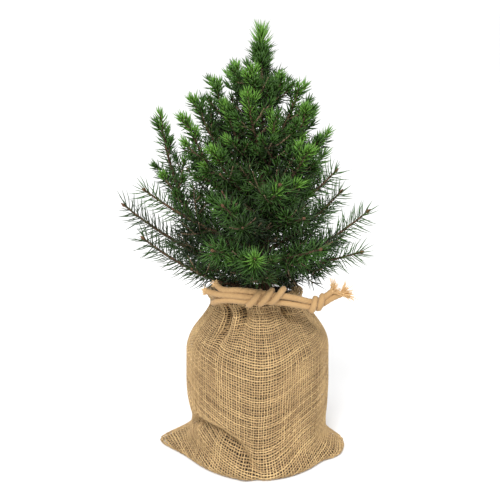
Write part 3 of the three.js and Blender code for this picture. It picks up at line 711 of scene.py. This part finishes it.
def make_filling(material):
    """The lump of roots and soil that fills the sack: the cloth's own surface drawn in by a few millimetres,
    rough, and closed over at the mouth."""
    z = np.concatenate([np.linspace(1.5, 152, 70), np.linspace(153, 160, 8)])
    turn = np.linspace(0, TAU, 160, endpoint=False)
    turns, heights = np.meshgrid(turn, z)
    inward = 5.0 + 2.5 * smooth(135, 158, heights)
    r = sack_radius(turns, heights) - inward + 0.5 * ripple(9 * turns, heights / 4.0, 2.0)
    x = neck_shift(heights) + r * np.cos(turns)
    rings = np.stack([x, r * np.sin(turns), heights], -1)
    top = []
    for share in (0.85, 0.65, 0.45, 0.25, 0.1):
        ring = rings[-1].copy()
        ring[:, :2] = (ring[:, :2] - [SACK["neck_shift"], 0]) * share + [SACK["neck_shift"], 0]
        ring[:, 2] = 160 + 0.9 * ripple(ring[:, 0] / 3, ring[:, 1] / 3, 5.0)
        top.append(ring)
    rings = np.concatenate([rings, np.array(top)])[None]
    faces = tube_faces(1, rings.shape[1], rings.shape[2])
    return add_mesh("root_ball_soil", rings.reshape(-1, 3), faces, material)


# ---------------------------------------------------------------- limbs
def trunk_axis(z):
    """The trunk's middle at a height: it leans from its foot towards one side, less and less up to where it
    stands straight, and bends slightly from front to back by a sine wave."""
    low = np.clip((TRUNK["straight_from"] - z) / (TRUNK["straight_from"] - TRUNK["foot"]), 0, 1)
    x = TRUNK["top_x"] + (TRUNK["foot_x"] - TRUNK["top_x"]) * low**1.3
    reach, length = TRUNK["wave"]
    return np.stack([x, reach * np.sin(z / length), z + 0 * x], -1)


def trunk_radius(z):
    """The stem's radius, which narrows to the tip, plus a root flare that dies away exponentially."""
    share = np.clip((z - TRUNK["foot"]) / (TRUNK["top"] - TRUNK["foot"]), 0, 1)
    flare = (TRUNK["foot_radius"] - TRUNK["stem_radius"]) * np.exp(-(z - TRUNK["foot"]) / TRUNK["flare"])
    return TRUNK["stem_radius"] + (TRUNK["tip_radius"] - TRUNK["stem_radius"]) * share**0.9 + flare


def limb_point(limb, share):
    """A curve with one elbow, from the trunk's axis to the limb's tip: at a share s its distance outwards is
    reach * (2 * s * (1 - s) * out + s * s), its rise goes the same way with up for out, and it sways to one
    side by a half sine wave."""
    turn = limb.turn * DEG
    base = trunk_axis(np.array(float(limb.foot)))
    bend = 2 * share * (1 - share)
    r = limb.reach * (bend * limb.out + share * share)
    z = limb.foot + (limb.tip - limb.foot) * (bend * limb.up + share * share)
    sway = BOUGH["sway"] * limb.reach * np.sin(math.pi * share) * math.sin(limb.foot * 1.7)
    x = base[0] + r * math.cos(turn) - sway * math.sin(turn)
    y = base[1] + r * math.sin(turn) + sway * math.cos(turn)
    return np.stack([x, y, z], -1)


def limb_length(limb):
    """The straight distance from a limb's foot to its tip."""
    return math.hypot(limb.reach, limb.tip - limb.foot)


def leader_point(share):
    """A straight line on from the trunk's tip to the leader's, with a slight lean."""
    z = TRUNK["top"] + (LEADER_TIP - TRUNK["top"]) * share
    top = trunk_axis(np.array(TRUNK["top"]))
    return np.stack([top[0] - 0.8 * share, top[1] + 0 * share, z], -1)


stations = np.linspace(0, 1, 9)
LINES = np.stack([limb_point(limb, stations) for limb in LIMBS] + [leader_point(stations)])


def distance_to_lines(points):
    """Distances of (n, 3) points to every limb's line, each a chain of straight pieces: (n, lines)."""
    a, b = LINES[:, :-1], LINES[:, 1:]
    along = b - a
    best = np.full((len(points), len(LINES)), np.inf)
    for piece in range(a.shape[1]):
        offset = points[:, None] - a[None, :, piece]
        d = along[None, :, piece]
        t = np.clip((offset * d).sum(-1) / (d * d).sum(-1), 0, 1)
        best = np.minimum(best, np.linalg.norm(offset - t[..., None] * d, axis=-1))
    return best


def in_own_space(points, own, overlap):
    """True where a point is nearer to its own limb's line than to any other's, but for a small overlap, and
    is clear of the trunk, the sack and the drawstring and within the plant's box."""
    distance = distance_to_lines(points)
    x, y, z = points.T
    axis = trunk_axis(z)
    off_trunk = np.hypot(x - axis[:, 0], y - axis[:, 1]) > trunk_radius(z) + CLEAR["trunk"]
    off_axis = np.hypot(x, y)
    in_mouth = (off_axis < CLEAR["mouth"]) & (z > CLEAR["mouth_floor"])
    off_sack = (z > CLEAR["sack_top"]) | (off_axis > CLEAR["sack_radius"]) | in_mouth
    beside_cord = np.abs(x - CLEAR["cord_middle"]) > CLEAR["cord_half"]
    off_cord = (y > CLEAR["cord_front"]) | (z > CLEAR["cord_top"]) | beside_cord
    low, high = np.array(cad_box) / MM
    in_box = (points > low - CLEAR["before_box"]) & (points < high + CLEAR["past_box"])
    return (
        (distance[:, own] < distance.min(axis=1) + overlap)
        & (off_trunk | (z > TRUNK["top"]))
        & off_sack
        & off_cord
        & (z > CLEAR["skirt"])
        & in_box.all(axis=1)
    )


# ---------------------------------------------------------------- twigs
class Twig:
    """A twig: its line, its radius at each point, its limb's number, its level (0 for a limb's stem), how
    much of its end is this year's shoot, how long its needles are, and how far out in the crown it stands."""

    def __init__(self, points, foot_radius, tip_radius, own, level, fresh_run, size, outer):
        self.points = points
        self.radius = np.linspace(foot_radius, tip_radius, len(points))
        self.own, self.level, self.fresh_run, self.size, self.outer = own, level, fresh_run, size, outer
        self.run = run_along(points)

    def at(self, share):
        """Point and direction at a share of the length."""
        wanted = share * self.run[-1]
        behind, point, ahead = (points_at(self.points, self.run, wanted + step) for step in (-1.0, 0.0, 1.0))
        return point, unit(ahead - behind)


def side_twig(parent, kind, share, roll, splay, reach, fresh_run):
    """A twig that leaves its parent at a share of its length: foot + heading * reach * s, with s from 0 to 1,
    bent upwards by lift * reach * s * s, and cut off where it would leave its limb's own space. The heading
    is the parent's direction turned by the splay towards a side that the roll picks."""
    foot, tangent = parent.at(share)
    flat = unit(np.array([-tangent[1], tangent[0], 1e-6]))
    rise = np.cross(flat, tangent)
    rise = rise if rise[2] > 0 else -rise
    side = flat * math.cos(roll) + rise * math.sin(roll)
    heading = tangent * math.cos(splay) + side * math.sin(splay)
    s = np.linspace(0, 1, max(4, int(reach / 4) + 2))[:, None]
    points = foot + heading * reach * s + UP * kind.lift * reach * s * s
    keeps = in_own_space(points[1:], parent.own, CLEAR["overlap"])
    kept = len(keeps) if keeps.all() else int(np.argmin(keeps))
    if kept < 2:
        return None
    outer = 0.35 * parent.outer + 0.65 * share
    size, own, level = parent.size, parent.own, parent.level + 1
    return Twig(points[: kept + 1], kind.radius, BOUGH["tip"], own, level, fresh_run, size, outer)


def grow_limb(own, limb):
    """The limb's stem and, by a seeded rule, side twigs to the left and right of its inner part, a few finer
    ones on those, and at the foot of a low limb some that hang. An upper limb ends in a brush of fresh
    shoots; a low one ends in one long shoot with a bud."""
    draw = np.random.default_rng(500 + own)
    length = limb_length(limb)
    foot_radius = BOUGH["radius"] + length * BOUGH["per_length"]
    high = float(smooth(*HEIGHTS["fresh"], limb.tip))
    size = NEEDLE["length"] - NEEDLE["shorter"] * high
    fresh_run = 8 + 18 * high if high > 0.3 else 16.0 if limb.name in BRIGHT else 0.0
    line = limb_point(limb, np.linspace(0, 1, GROWTH["steps"]))
    stem = Twig(line, foot_radius, GROWTH["stem_tip"], own, 0, fresh_run, size, 1.0)
    rightward, backward = math.cos(limb.turn * DEG), math.sin(limb.turn * DEG)
    aside = (rightward < -0.7 or rightward > 0.55) and limb.tip < HEIGHTS["aside"]
    in_front = backward < -0.55
    place = "aside" if aside else "other"
    start, end = max(limb.bare * 0.7, GROWTH["first"]), GROWTH["ends"][place]
    count = max(2, int(length * (end - start) / GROWTH["apart"][place]))
    twigs = [stem]

    def add(parent, kind, *shape):
        twig = side_twig(parent, kind, *shape)
        if twig is not None:
            twigs.append(twig)
        return twig

    for n in range(count):
        share = start + (end - start) * (n + 0.6 * draw.random()) / count
        roll = (math.pi if n % 2 else 0.0) + draw.uniform(-1.0, 1.0)
        outward = GROWTH["per_length"] * min(length, GROWTH["longest"]) * (1 - share) ** 0.8
        reach = (GROWTH["least"] + outward) * draw.uniform(0.75, 1.15)
        fresh = 5 + 7 * draw.random() if draw.random() < 0.12 + 0.7 * high else 0.0
        twig = add(stem, SIDE, share, roll, draw.uniform(*SIDE.splay) * DEG, reach, fresh)
        if twig is None:
            continue
        finer = int(twig.run[-1] / GROWTH["finer_apart"])
        for m in range(finer):
            share = 0.25 + 0.5 * (m + 0.5 * draw.random()) / finer
            roll = (math.pi if m % 2 else 0.0) + draw.uniform(-0.9, 0.9)
            fresh = 4 + 5 * draw.random() if draw.random() < 0.1 + 0.6 * high else 0.0
            splay, reach = draw.uniform(*FINER.splay) * DEG, draw.uniform(*GROWTH["finer_reach"])
            add(twig, FINER, share, roll, splay, reach, fresh)
    if high > 0.5:
        crest = limb.tip > HEIGHTS["crest"]
        for n in range(7 if crest else 3):
            share = 0.42 + 0.07 * n if crest else 0.76 + 0.06 * n
            share += 0.04 * draw.random()
            roll = TAU * ((0.4 if crest else 0.333) * n + 0.2 * draw.random())
            reach = draw.uniform(*GROWTH["crest_reach" if crest else "brush_reach"])
            reach = reach * (1.1 - 0.5 * share) if crest else reach
            add(stem, BRUSH, share, roll, draw.uniform(*BRUSH.splay) * DEG, reach, GROWTH["brush_run"])
    if limb.foot < HEIGHTS["hanging_foot"] and limb.tip < HEIGHTS["hanging_tip"]:
        for n in range(3 if in_front else 4 if aside else 8):
            share = 0.05 + 0.085 * n + 0.06 * draw.random() + (0.3 if in_front else 0)
            roll = -math.pi / 2 + draw.uniform(-0.9, 0.9)
            splay, reach = draw.uniform(*HANGING.splay) * DEG, draw.uniform(*GROWTH["hanging_reach"])
            add(stem, HANGING, share, roll, splay, reach, 0.0)
    return twigs


def grow_leader(own):
    """The leader above the trunk's tip, with six short shoots up its sides in a spiral."""
    line = leader_point(np.linspace(0, 1, 16))
    leader = Twig(line, TRUNK["tip_radius"], GROWTH["stem_tip"], own, 0, 40.0, 15.0, 1.0)
    draw = np.random.default_rng(499)
    twigs = [leader]
    for n in range(6):
        splay = draw.uniform(*SPIRAL.splay) * DEG
        shoot = side_twig(leader, SPIRAL, 0.04 + 0.05 * n, TAU * 0.382 * n, splay, 13.0, 12.0)
        if shoot is not None:
            twigs.append(shoot)
    return twigs


def twig_tubes(name, twigs, material, sides):
    """Thin tapering stems of the twigs, joined, each with small ridges where old needles sat."""
    blocks, faces, base = [], [[], []], 0
    for twig in twigs:
        rings = len(twig.points) * 2
        run = np.linspace(0, twig.run[-1], rings)
        line = points_at(twig.points, twig.run, run)[None]
        radius = np.interp(run, twig.run, twig.radius)[None]
        radius = radius * (1 + 0.12 * np.where(np.arange(rings) % 2, 1, -1))
        points = tube_points(line, radius, sides)
        blocks.append(points.reshape(-1, 3))
        for kind, found in enumerate(tube_faces(1, rings, sides)):
            faces[kind].append(found + base)
        base += rings * sides
    return add_mesh(name, np.concatenate(blocks), [np.concatenate(f) for f in faces], material)


def make_trunk(material):
    """The trunk: a round stem, flat at its foot, whose radius is multiplied by the relief of its scaly bark
    and, in the root flare, by five lobes as 1 + buttress * cos(5 * a)."""
    z = np.linspace(TRUNK["foot"], TRUNK["top"], 260)
    angle = np.linspace(0, TAU, 44, endpoint=False)
    a, h = np.meshgrid(angle, z)
    flare = np.exp(-(h - TRUNK["foot"]) / TRUNK["flare"])
    scales = np.abs(ripple(5 * a, h / 2.6, 3.0)) ** 0.6 * 0.07 + 0.02 * ripple(16 * a, h / 0.8, 1.0)
    r = trunk_radius(h) * (0.97 + TRUNK["buttress"] * np.cos(5 * a) * flare + scales)
    centre = trunk_axis(z)[:, None]
    points = centre + np.stack([r * np.cos(a), r * np.sin(a), 0 * r], -1)
    return add_mesh("trunk_bark", points.reshape(-1, 3), tube_faces(1, len(z), len(angle)), material)


def make_buds(twigs, material):
    """Brown winter buds at the tips of the shoots that end without fresh needles, a stem's with two lesser
    ones beside it: each an egg with a point, whose radius is the sine of its share to the power 0.8, pinched
    towards the tip."""
    share = np.linspace(0, 1, BUD["rings"])
    profile = np.sin(math.pi * np.clip(share * 0.93 + 0.05, 0, 1)) ** 0.8 * (1 - 0.45 * share)
    angle = np.arange(BUD["sides"]) * TAU / BUD["sides"]
    blocks = []
    for number, twig in enumerate(twigs):
        draw = np.random.default_rng(7000 + number)
        tip, tangent = twig.at(1.0)
        side = unit(np.cross(tangent, UP + 1e-3))
        up = np.cross(side, tangent)
        stem = twig.level == 0
        for beside in (False, True, True) if stem else (False,):
            roll = draw.uniform(0, TAU)
            lean = BUD["lean"] if beside else 0.0
            heading = unit(tangent + lean * (side * math.cos(roll) + up * math.sin(roll)))
            across = unit(np.cross(heading, up))
            over = np.cross(heading, across)
            size = (BUD["lesser"] if beside else 1.0) * (1.0 if stem else BUD["lesser"])
            length, width = size * draw.uniform(*BUD["length"]), size * draw.uniform(*BUD["width"])
            ring = across * np.cos(angle)[None, :, None] + over * np.sin(angle)[None, :, None]
            ring = ring * (width * profile)[:, None, None]
            blocks.append(tip + heading * (length * share - BUD["sunk"])[:, None, None] + ring)
    points = np.array(blocks)
    faces = tube_faces(len(points), BUD["rings"], BUD["sides"])
    return add_mesh("buds", points.reshape(-1, 3), faces, material)


# ---------------------------------------------------------------- needles
def needle_roots(twig, draw):
    """Needles round a twig, each turned by the golden angle from the last: where they stand, which way the
    twig runs there, its radius, how they lean, how long they are, and whether they belong to its fresh shoot.
    Older needles stand well off the twig; those of a fresh shoot are shorter, closer and lean to its tip."""
    length = twig.run[-1]
    stem = twig.level == 0
    leads = twig.own == len(LIMBS)
    fresh_run = min(twig.fresh_run, 0.75 * length)
    old = np.arange(8.0 if stem else 1.5, length - fresh_run, SPACING["stem" if stem else "old"])
    new = np.arange(length - fresh_run, length, SPACING["leader" if leads and stem else "new"])
    at = np.concatenate([old, new])
    is_new = np.arange(len(at)) >= len(old)
    at = at + draw.uniform(-0.3, 0.3, len(at))
    behind, point, ahead = (points_at(twig.points, twig.run, at + step) for step in (-1.5, 0.0, 1.5))
    tangent = unit(ahead - behind)
    radius = np.interp(at, twig.run, twig.radius)
    angle = np.arange(len(at)) * NEEDLE["golden"] + draw.uniform(0, TAU)
    from_tip = length - at
    leans = [
        least + more * smooth(0, reach, from_tip)
        for least, more, reach in (LEAN["leader" if leads else "new"], LEAN["old"])
    ]
    lean = np.where(is_new, *leans) * DEG + draw.normal(0, LEAN["spread"] * DEG, len(at))
    fresh_size = NEEDLE["on_leader"] if leads and stem else NEEDLE["fresh"] * twig.size
    old_size = (NEEDLE["on_stem"] if stem else 1.0) * twig.size
    size = np.where(is_new, fresh_size, old_size) * draw.uniform(0.8, 1.1, len(at))
    size = size * (0.9 + 0.1 * smooth(0, 6, from_tip))
    return point, tangent, radius, angle, lean, size, is_new


def needle_geometry(root, tangent, outward, lean, size, width, curl):
    """Three-sided needles: a base ring, a ring a little past the middle, and a point. The needle leaves the
    twig at its lean and curls towards the tip of the twig: middle = root + size / 2 * heading, and the point
    lies size / 2 further along heading + curl * tangent."""
    heading = outward * np.sin(lean)[:, None] + tangent * np.cos(lean)[:, None]
    side = unit(np.cross(heading, tangent))
    back = np.cross(heading, side)
    start = root - heading * NEEDLE["sunk"]
    middle = root + heading * (0.5 * size)[:, None]
    tip = middle + unit(heading + tangent * curl[:, None]) * (0.5 * size)[:, None]
    angle = np.array([0.0, 1.0, 2.0]) * TAU / 3
    ring = np.cos(angle)[None, :, None] * side[:, None] + np.sin(angle)[None, :, None] * back[:, None]
    base_ring = start[:, None] + ring * (width * 0.8)[:, None, None]
    middle_ring = middle[:, None] + ring * width[:, None, None]
    return np.concatenate([base_ring, middle_ring, tip[:, None]], axis=1)


NEEDLE_QUADS = np.array([[0, 1, 4, 3], [1, 2, 5, 4], [2, 0, 3, 5]])
NEEDLE_TRIANGLES = np.array([[3, 4, 6], [4, 5, 6], [5, 3, 6], [0, 2, 1]])
POINTS_PER_NEEDLE, TRIANGLES_PER_NEEDLE = 7, 10


def make_needles(name, points, material):
    """One joined piece, or several below the size limit, from (needles, 7, 3) points."""
    pieces = []
    count = max(1, math.ceil(len(points) * TRIANGLES_PER_NEEDLE / MOST_TRIANGLES))
    for n, part in enumerate(np.array_split(points, count)):
        base = np.arange(len(part))[:, None, None] * POINTS_PER_NEEDLE
        faces = [(base + NEEDLE_QUADS).reshape(-1, 4), (base + NEEDLE_TRIANGLES).reshape(-1, 3)]
        pieces.append(add_mesh(f"{name}_{n + 1}", part.reshape(-1, 3), faces, material))
    return pieces


# ---------------------------------------------------------------- drawstring
def through(points, count):
    """A smooth line through a few points, by Catmull and Rom's rule, with points at even distances."""
    p = np.array(points, float)
    ends = np.concatenate([[2 * p[0] - p[1]], p, [2 * p[-1] - p[-2]]])
    t = np.linspace(0, 1, 12, endpoint=False)[:, None]
    parts = []
    for a, b, c, d in zip(ends, ends[1:], ends[2:], ends[3:]):
        square, cube = 2 * a - 5 * b + 4 * c - d, 3 * b - a - 3 * c + d
        parts.append(0.5 * (2 * b + (c - a) * t + square * t**2 + cube * t**3))
    line = np.concatenate(parts + [p[-1:]])
    run = run_along(line)
    return points_at(line, run, np.linspace(0, run[-1], count))


def cord_tube(name, line, material, closed=False, radius=None):
    """Laid cord along a line: radius * (0.9 + 0.13 * |cos(plies / 2 * b)|), where b is the angle round the
    cord plus one turn for each length of lay."""
    radius = np.full(len(line), CORD["radius"]) if radius is None else radius
    angle = np.arange(CORD["sides"]) * TAU / CORD["sides"]
    turned = angle[None] + run_along(line)[:, None] * TAU / CORD["lay"]
    relief = 0.9 + 0.13 * np.abs(np.cos(CORD["plies"] / 2 * turned))
    tangent = unit(np.gradient(line, axis=0))
    normal = np.empty_like(line)
    current = unit(np.cross(tangent[0], UP + 0.1))
    for i, t in enumerate(tangent):
        current = unit(current - t * (current * t).sum())
        normal[i] = current
    side = np.cross(tangent, normal)
    ring = np.cos(angle)[None, :, None] * normal[:, None] + np.sin(angle)[None, :, None] * side[:, None]
    points = line[:, None] + (radius[:, None] * relief)[..., None] * ring
    return add_mesh(name, points.reshape(-1, 3), tube_faces(1, len(line), len(angle), closed), material)


def neck_line():
    """The turn of cord round the neck, and its radius: a circle inside the hem behind and at the sides, which
    eases out to a wider and higher one outside it across the front."""
    turn = np.linspace(0, TAU, 240, endpoint=False)
    degrees = wrap(turn) / DEG
    e = CORD["easing"]
    out = smooth(CORD["left_exit"] - e / 4, CORD["left_exit"] + 3 * e / 4, degrees)
    out = out * (1 - smooth(CORD["right_exit"] - 3 * e / 4, CORD["right_exit"] + e / 4, degrees))
    r = CORD["tunnel_radius"] + (CORD["front_radius"] - CORD["tunnel_radius"]) * out
    z = CORD["tunnel_height"] + (CORD["front_height"] - CORD["tunnel_height"]) * out
    radius = CORD["squeezed"] + (CORD["radius"] - CORD["squeezed"]) * out
    return np.stack([SACK["neck_shift"] + r * np.cos(turn), r * np.sin(turn), z], -1), radius


def winding_line(ends, turns, tall, deep, skew, count):
    """Turns of cord wound round a line between two ends, as an overhand knot shows them, rising from left
    to right on its front: an ellipse tall * cos(a), deep * sin(a) across the line, and skew * cos(a) along
    it."""
    a, b = ends
    along = b - a
    side = unit(UP - along * (UP @ along) / (along @ along))
    across = np.cross(unit(along), side)
    s = np.linspace(0, 1, count)[:, None]
    angle = math.pi * 0.9 - TAU * turns * s
    turned = side * tall * np.cos(angle) + across * deep * np.sin(angle)
    return a + along * s + unit(along) * skew * np.cos(angle) + turned


def frayed_end(name, end, heading, material, spread, length, count):
    """Loose fibres at a cut end of cord: thin tubes that fan out from it and narrow to half their radius."""
    draw = np.random.default_rng(int(abs(end[0]) * 10))
    side = unit(np.cross(heading, UP))
    up = np.cross(side, heading)
    angle, off = draw.uniform(0, TAU, count), np.sqrt(draw.random(count))
    radial = side * np.cos(angle)[:, None] + up * np.sin(angle)[:, None]
    size = length * draw.uniform(0.6, 1.1, count)
    share = np.linspace(0, 1, 6)
    start = end - heading * 2.0 + radial * (off * CORD["radius"] * 0.9)[:, None]
    fan = radial * (off * spread)[:, None] + draw.normal(0, 0.16, (count, 3))
    s = share[None, :, None]
    lines = start[:, None] + size[:, None, None] * s * (heading + fan[:, None] * (0.5 + s))
    radius = 0.4 * (1 - 0.5 * share)[None] * np.ones((count, 1))
    points = tube_points(lines, radius, 4)
    return add_mesh(name, points.reshape(-1, 3), tube_faces(count, len(share), 4), material)


# ---------------------------------------------------------------- build: sack
jute = jute_finish()
grid = cloth_grid()
normals = cloth_normals(grid)
warp_pieces = make_threads("warp_threads", grid, normals, False, jute)
weft_pieces = make_threads("weft_threads", grid, normals, True, jute)
for piece in warp_pieces + weft_pieces:
    dress(piece, "burlap", "sack")
dress(make_filling(soil_finish()), "soil", "root_ball")


# ---------------------------------------------------------------- build: drawstring
cord = cord_finish()
fibres = Finish("cord_fibres", base_color=rgb(214, 178, 128), roughness=0.8).material
ring_line, ring_radius = neck_line()
# each strand's points, from inside the knot outwards
STRANDS = {
    "cord_cut_high": [
        (14, -57, 177.5),
        (-4.6, -57, 180.5),
        (-18, -54, 181),
        (-33, -47, 179.5),
        (-41, -41, 184),
    ],
    "cord_cut_low": [
        (14, -57, 174),
        (-10, -57.5, 175.5),
        (-24, -53, 175.5),
        (-37, -46, 174.5),
        (-50.5, -38, 175.5),
    ],
    "cord_from_hem": [(8, -56.5, 172), (-12, -56, 171), (-27, -51, 170.5), (-38, -43, 167), (-43, -36, 163)],
    "cord_end_high": [
        (0, -57, 177),
        (22, -57, 176.5),
        (37, -54, 173),
        (51, -50, 168.5),
        (60, -49.5, 170.5),
        (66, -48.5, 175),
        (71.5, -48, 179),
    ],
    "cord_end_low": [
        (2, -57, 172.5),
        (18, -57, 170.5),
        (33, -54, 167.5),
        (51, -50, 163.5),
        (61, -49, 166),
        (70, -48.5, 171.5),
        (81, -48, 176.5),
    ],
}
FRAYS = {"end": (0.75, 7.5, 150), "cut": (0.35, 3.6, 90)}  # spread, length and number of loose fibres
cord_pieces = [cord_tube("cord_round_neck", ring_line, cord, True, ring_radius)]
for name, points in STRANDS.items():
    line = through(points, 90)
    cord_pieces.append(cord_tube(name, line, cord))
    heading = unit(line[-1] - line[-6])
    kind = name.split("_")[1]
    if kind in FRAYS:
        cord_pieces.append(frayed_end(name + "_fray", line[-1], heading, fibres, *FRAYS[kind]))
for name, (ends, *winding) in KNOTS.items():
    cord_pieces.append(cord_tube(name, winding_line(np.array(ends), *winding), cord))
for piece in cord_pieces:
    dress(piece, "cord", "drawstring")


# ---------------------------------------------------------------- build: trunk and boughs
bark = bark_finish("bark", rgb(44, 30, 20), rgb(104, 78, 54), 520.0)
twig_bark = bark_finish("twig_bark", rgb(70, 56, 42), rgb(138, 116, 88), 900.0)
dress(make_trunk(bark), "bark", "trunk")

crown = [twig for own, limb in enumerate(LIMBS) for twig in grow_limb(own, limb)] + grow_leader(len(LIMBS))
stems = [twig for twig in crown if twig.level == 0]
sides = [twig for twig in crown if twig.level > 0]
boughs = [f"bough_{limb.name}" for limb in LIMBS if limb.bare]
masses = [f"mass_{limb.name}" for limb in LIMBS] + ["mass_leader"]
dress(twig_tubes("bough_bark", stems, bark, 10), "bark", *boughs)
dress(twig_tubes("twigs", sides, twig_bark, 5), "bark")
bud_brown = bark_finish("bud_scales", rgb(62, 40, 26), rgb(122, 88, 58), 1500.0)
budding = [
    twig
    for number, twig in enumerate(crown)
    if not twig.fresh_run and (twig.level == 0 or (twig.outer > 0.62 and number % 3 == 0))
]
dress(make_buds(budding, bud_brown), "bark")


# ---------------------------------------------------------------- build: needles
# Plain greens. The three greens of older needles are painted shade: the nearer their twig stands to the
# trunk, the darker the green. The two greens of fresh shoots are the paler green of new growth. Their palest
# tip green, on the stems and outer twigs, is also painted light.
GREENS = {
    "needles_tip": rgb(90, 134, 46),
    "needles_fresh": rgb(54, 88, 28),
    "needles_leaf": rgb(58, 94, 34),
    "needles_deep": rgb(42, 68, 24),
    "needles_shade": rgb(24, 40, 15),
}
TIP, FRESH, LEAF, HALF_SHADE, SHADE = GREENS
sprays = {name: [] for name in GREENS}
for number, twig in enumerate(crown):
    draw = np.random.default_rng(9000 + number)
    point, tangent, radius, angle, lean, size, is_new = needle_roots(twig, draw)
    level = unit(np.cross(tangent, UP + 1e-3))
    rise = np.cross(level, tangent)
    outward = level * np.cos(angle)[:, None] + rise * np.sin(angle)[:, None]
    root = point + outward * (radius * 0.8)[:, None]
    tip = root + (outward * np.sin(lean)[:, None] + tangent * np.cos(lean)[:, None]) * size[:, None]
    keep = in_own_space(tip, twig.own, CLEAR["needle_overlap"])
    width = np.where(is_new, NEEDLE["new_width"], NEEDLE["old_width"]) * draw.uniform(0.85, 1.15, len(tip))
    curl = draw.normal(NEEDLE["curl"], NEEDLE["curl_spread"], len(tip))
    shapes = needle_geometry(root, tangent, outward, lean, size, width, curl)
    # painted shade: an older needle's green is darker the less far out in the crown its twig stands, with a
    # random spread
    painted_light = twig.outer + draw.normal(0, 0.2)
    old_tone = LEAF if painted_light > 0.85 else HALF_SHADE if painted_light > 0.5 else SHADE
    # fresh shoots: the palest tip green on stems and outer twigs is partly the paler green of new growth and
    # partly painted light
    new_tone, new_foot = (TIP, FRESH) if twig.level == 0 or painted_light > 0.8 else (FRESH, LEAF)
    at_tip = np.linalg.norm(root - twig.points[-1], axis=1) < (16.0 if twig.level == 0 else 8.0)
    sprays[new_tone].append(shapes[keep & is_new & at_tip])
    sprays[new_foot].append(shapes[keep & is_new & ~at_tip])
    sprays[old_tone].append(shapes[keep & ~is_new])
for name, colour in GREENS.items():
    for piece in make_needles(name, np.concatenate(sprays[name]), needle_finish(name, colour)):
        dress(piece, "needles", *masses)


# ---------------------------------------------------------------- floor, light, camera
STUDIO = dict(floor_half=12.0, floor_grey=0.8, world=1.26)
KEY = dict(place=(-0.28, -1.37, 1.7), aim=(0, 0, 0.2), size=0.6, power=33.0)
CAMERA = dict(place=(-0.0075, -1.0, 0.47), aim=(-0.0075, 0.0, 0.206), lens=75.7, sensor=36.0)


def aimed(name, data, place, aim):
    """A light or camera at a place, in metres, turned towards its aim."""
    made = bpy.data.objects.new(name, data)
    made.location = place
    made.rotation_euler = (Vector(aim) - Vector(place)).to_track_quat("-Z", "Y").to_euler()
    bpy.context.scene.collection.objects.link(made)
    return made


half, grey = STUDIO["floor_half"], STUDIO["floor_grey"]
corners = [(-half, -half, 0), (half, -half, 0), (half, half, 0), (-half, half, 0)]
floor_mesh = bpy.data.meshes.new("floor")
floor_mesh.from_pydata(corners, [], [(0, 1, 2, 3)])
floor_mesh.materials.append(Finish("floor", base_color=(grey, grey, grey, 1), roughness=0.9).material)
floor = bpy.data.objects.new("floor", floor_mesh)
bpy.context.scene.collection.objects.link(floor)

world = bpy.data.worlds.new("studio")
world.use_nodes = True
world.node_tree.nodes["Background"].inputs["Color"].default_value = (1, 1, 1, 1)
world.node_tree.nodes["Background"].inputs["Strength"].default_value = STUDIO["world"]
bpy.context.scene.world = world

key = bpy.data.lights.new("key", "AREA")
key.shape, key.size, key.energy = "DISK", KEY["size"], KEY["power"]
aimed("key", key, KEY["place"], KEY["aim"])

camera = bpy.data.cameras.new("camera")
camera.lens, camera.sensor_width = CAMERA["lens"], CAMERA["sensor"]
bpy.context.scene.camera = aimed("camera", camera, CAMERA["place"], CAMERA["aim"])
bpy.context.scene.view_settings.view_transform = "Standard"
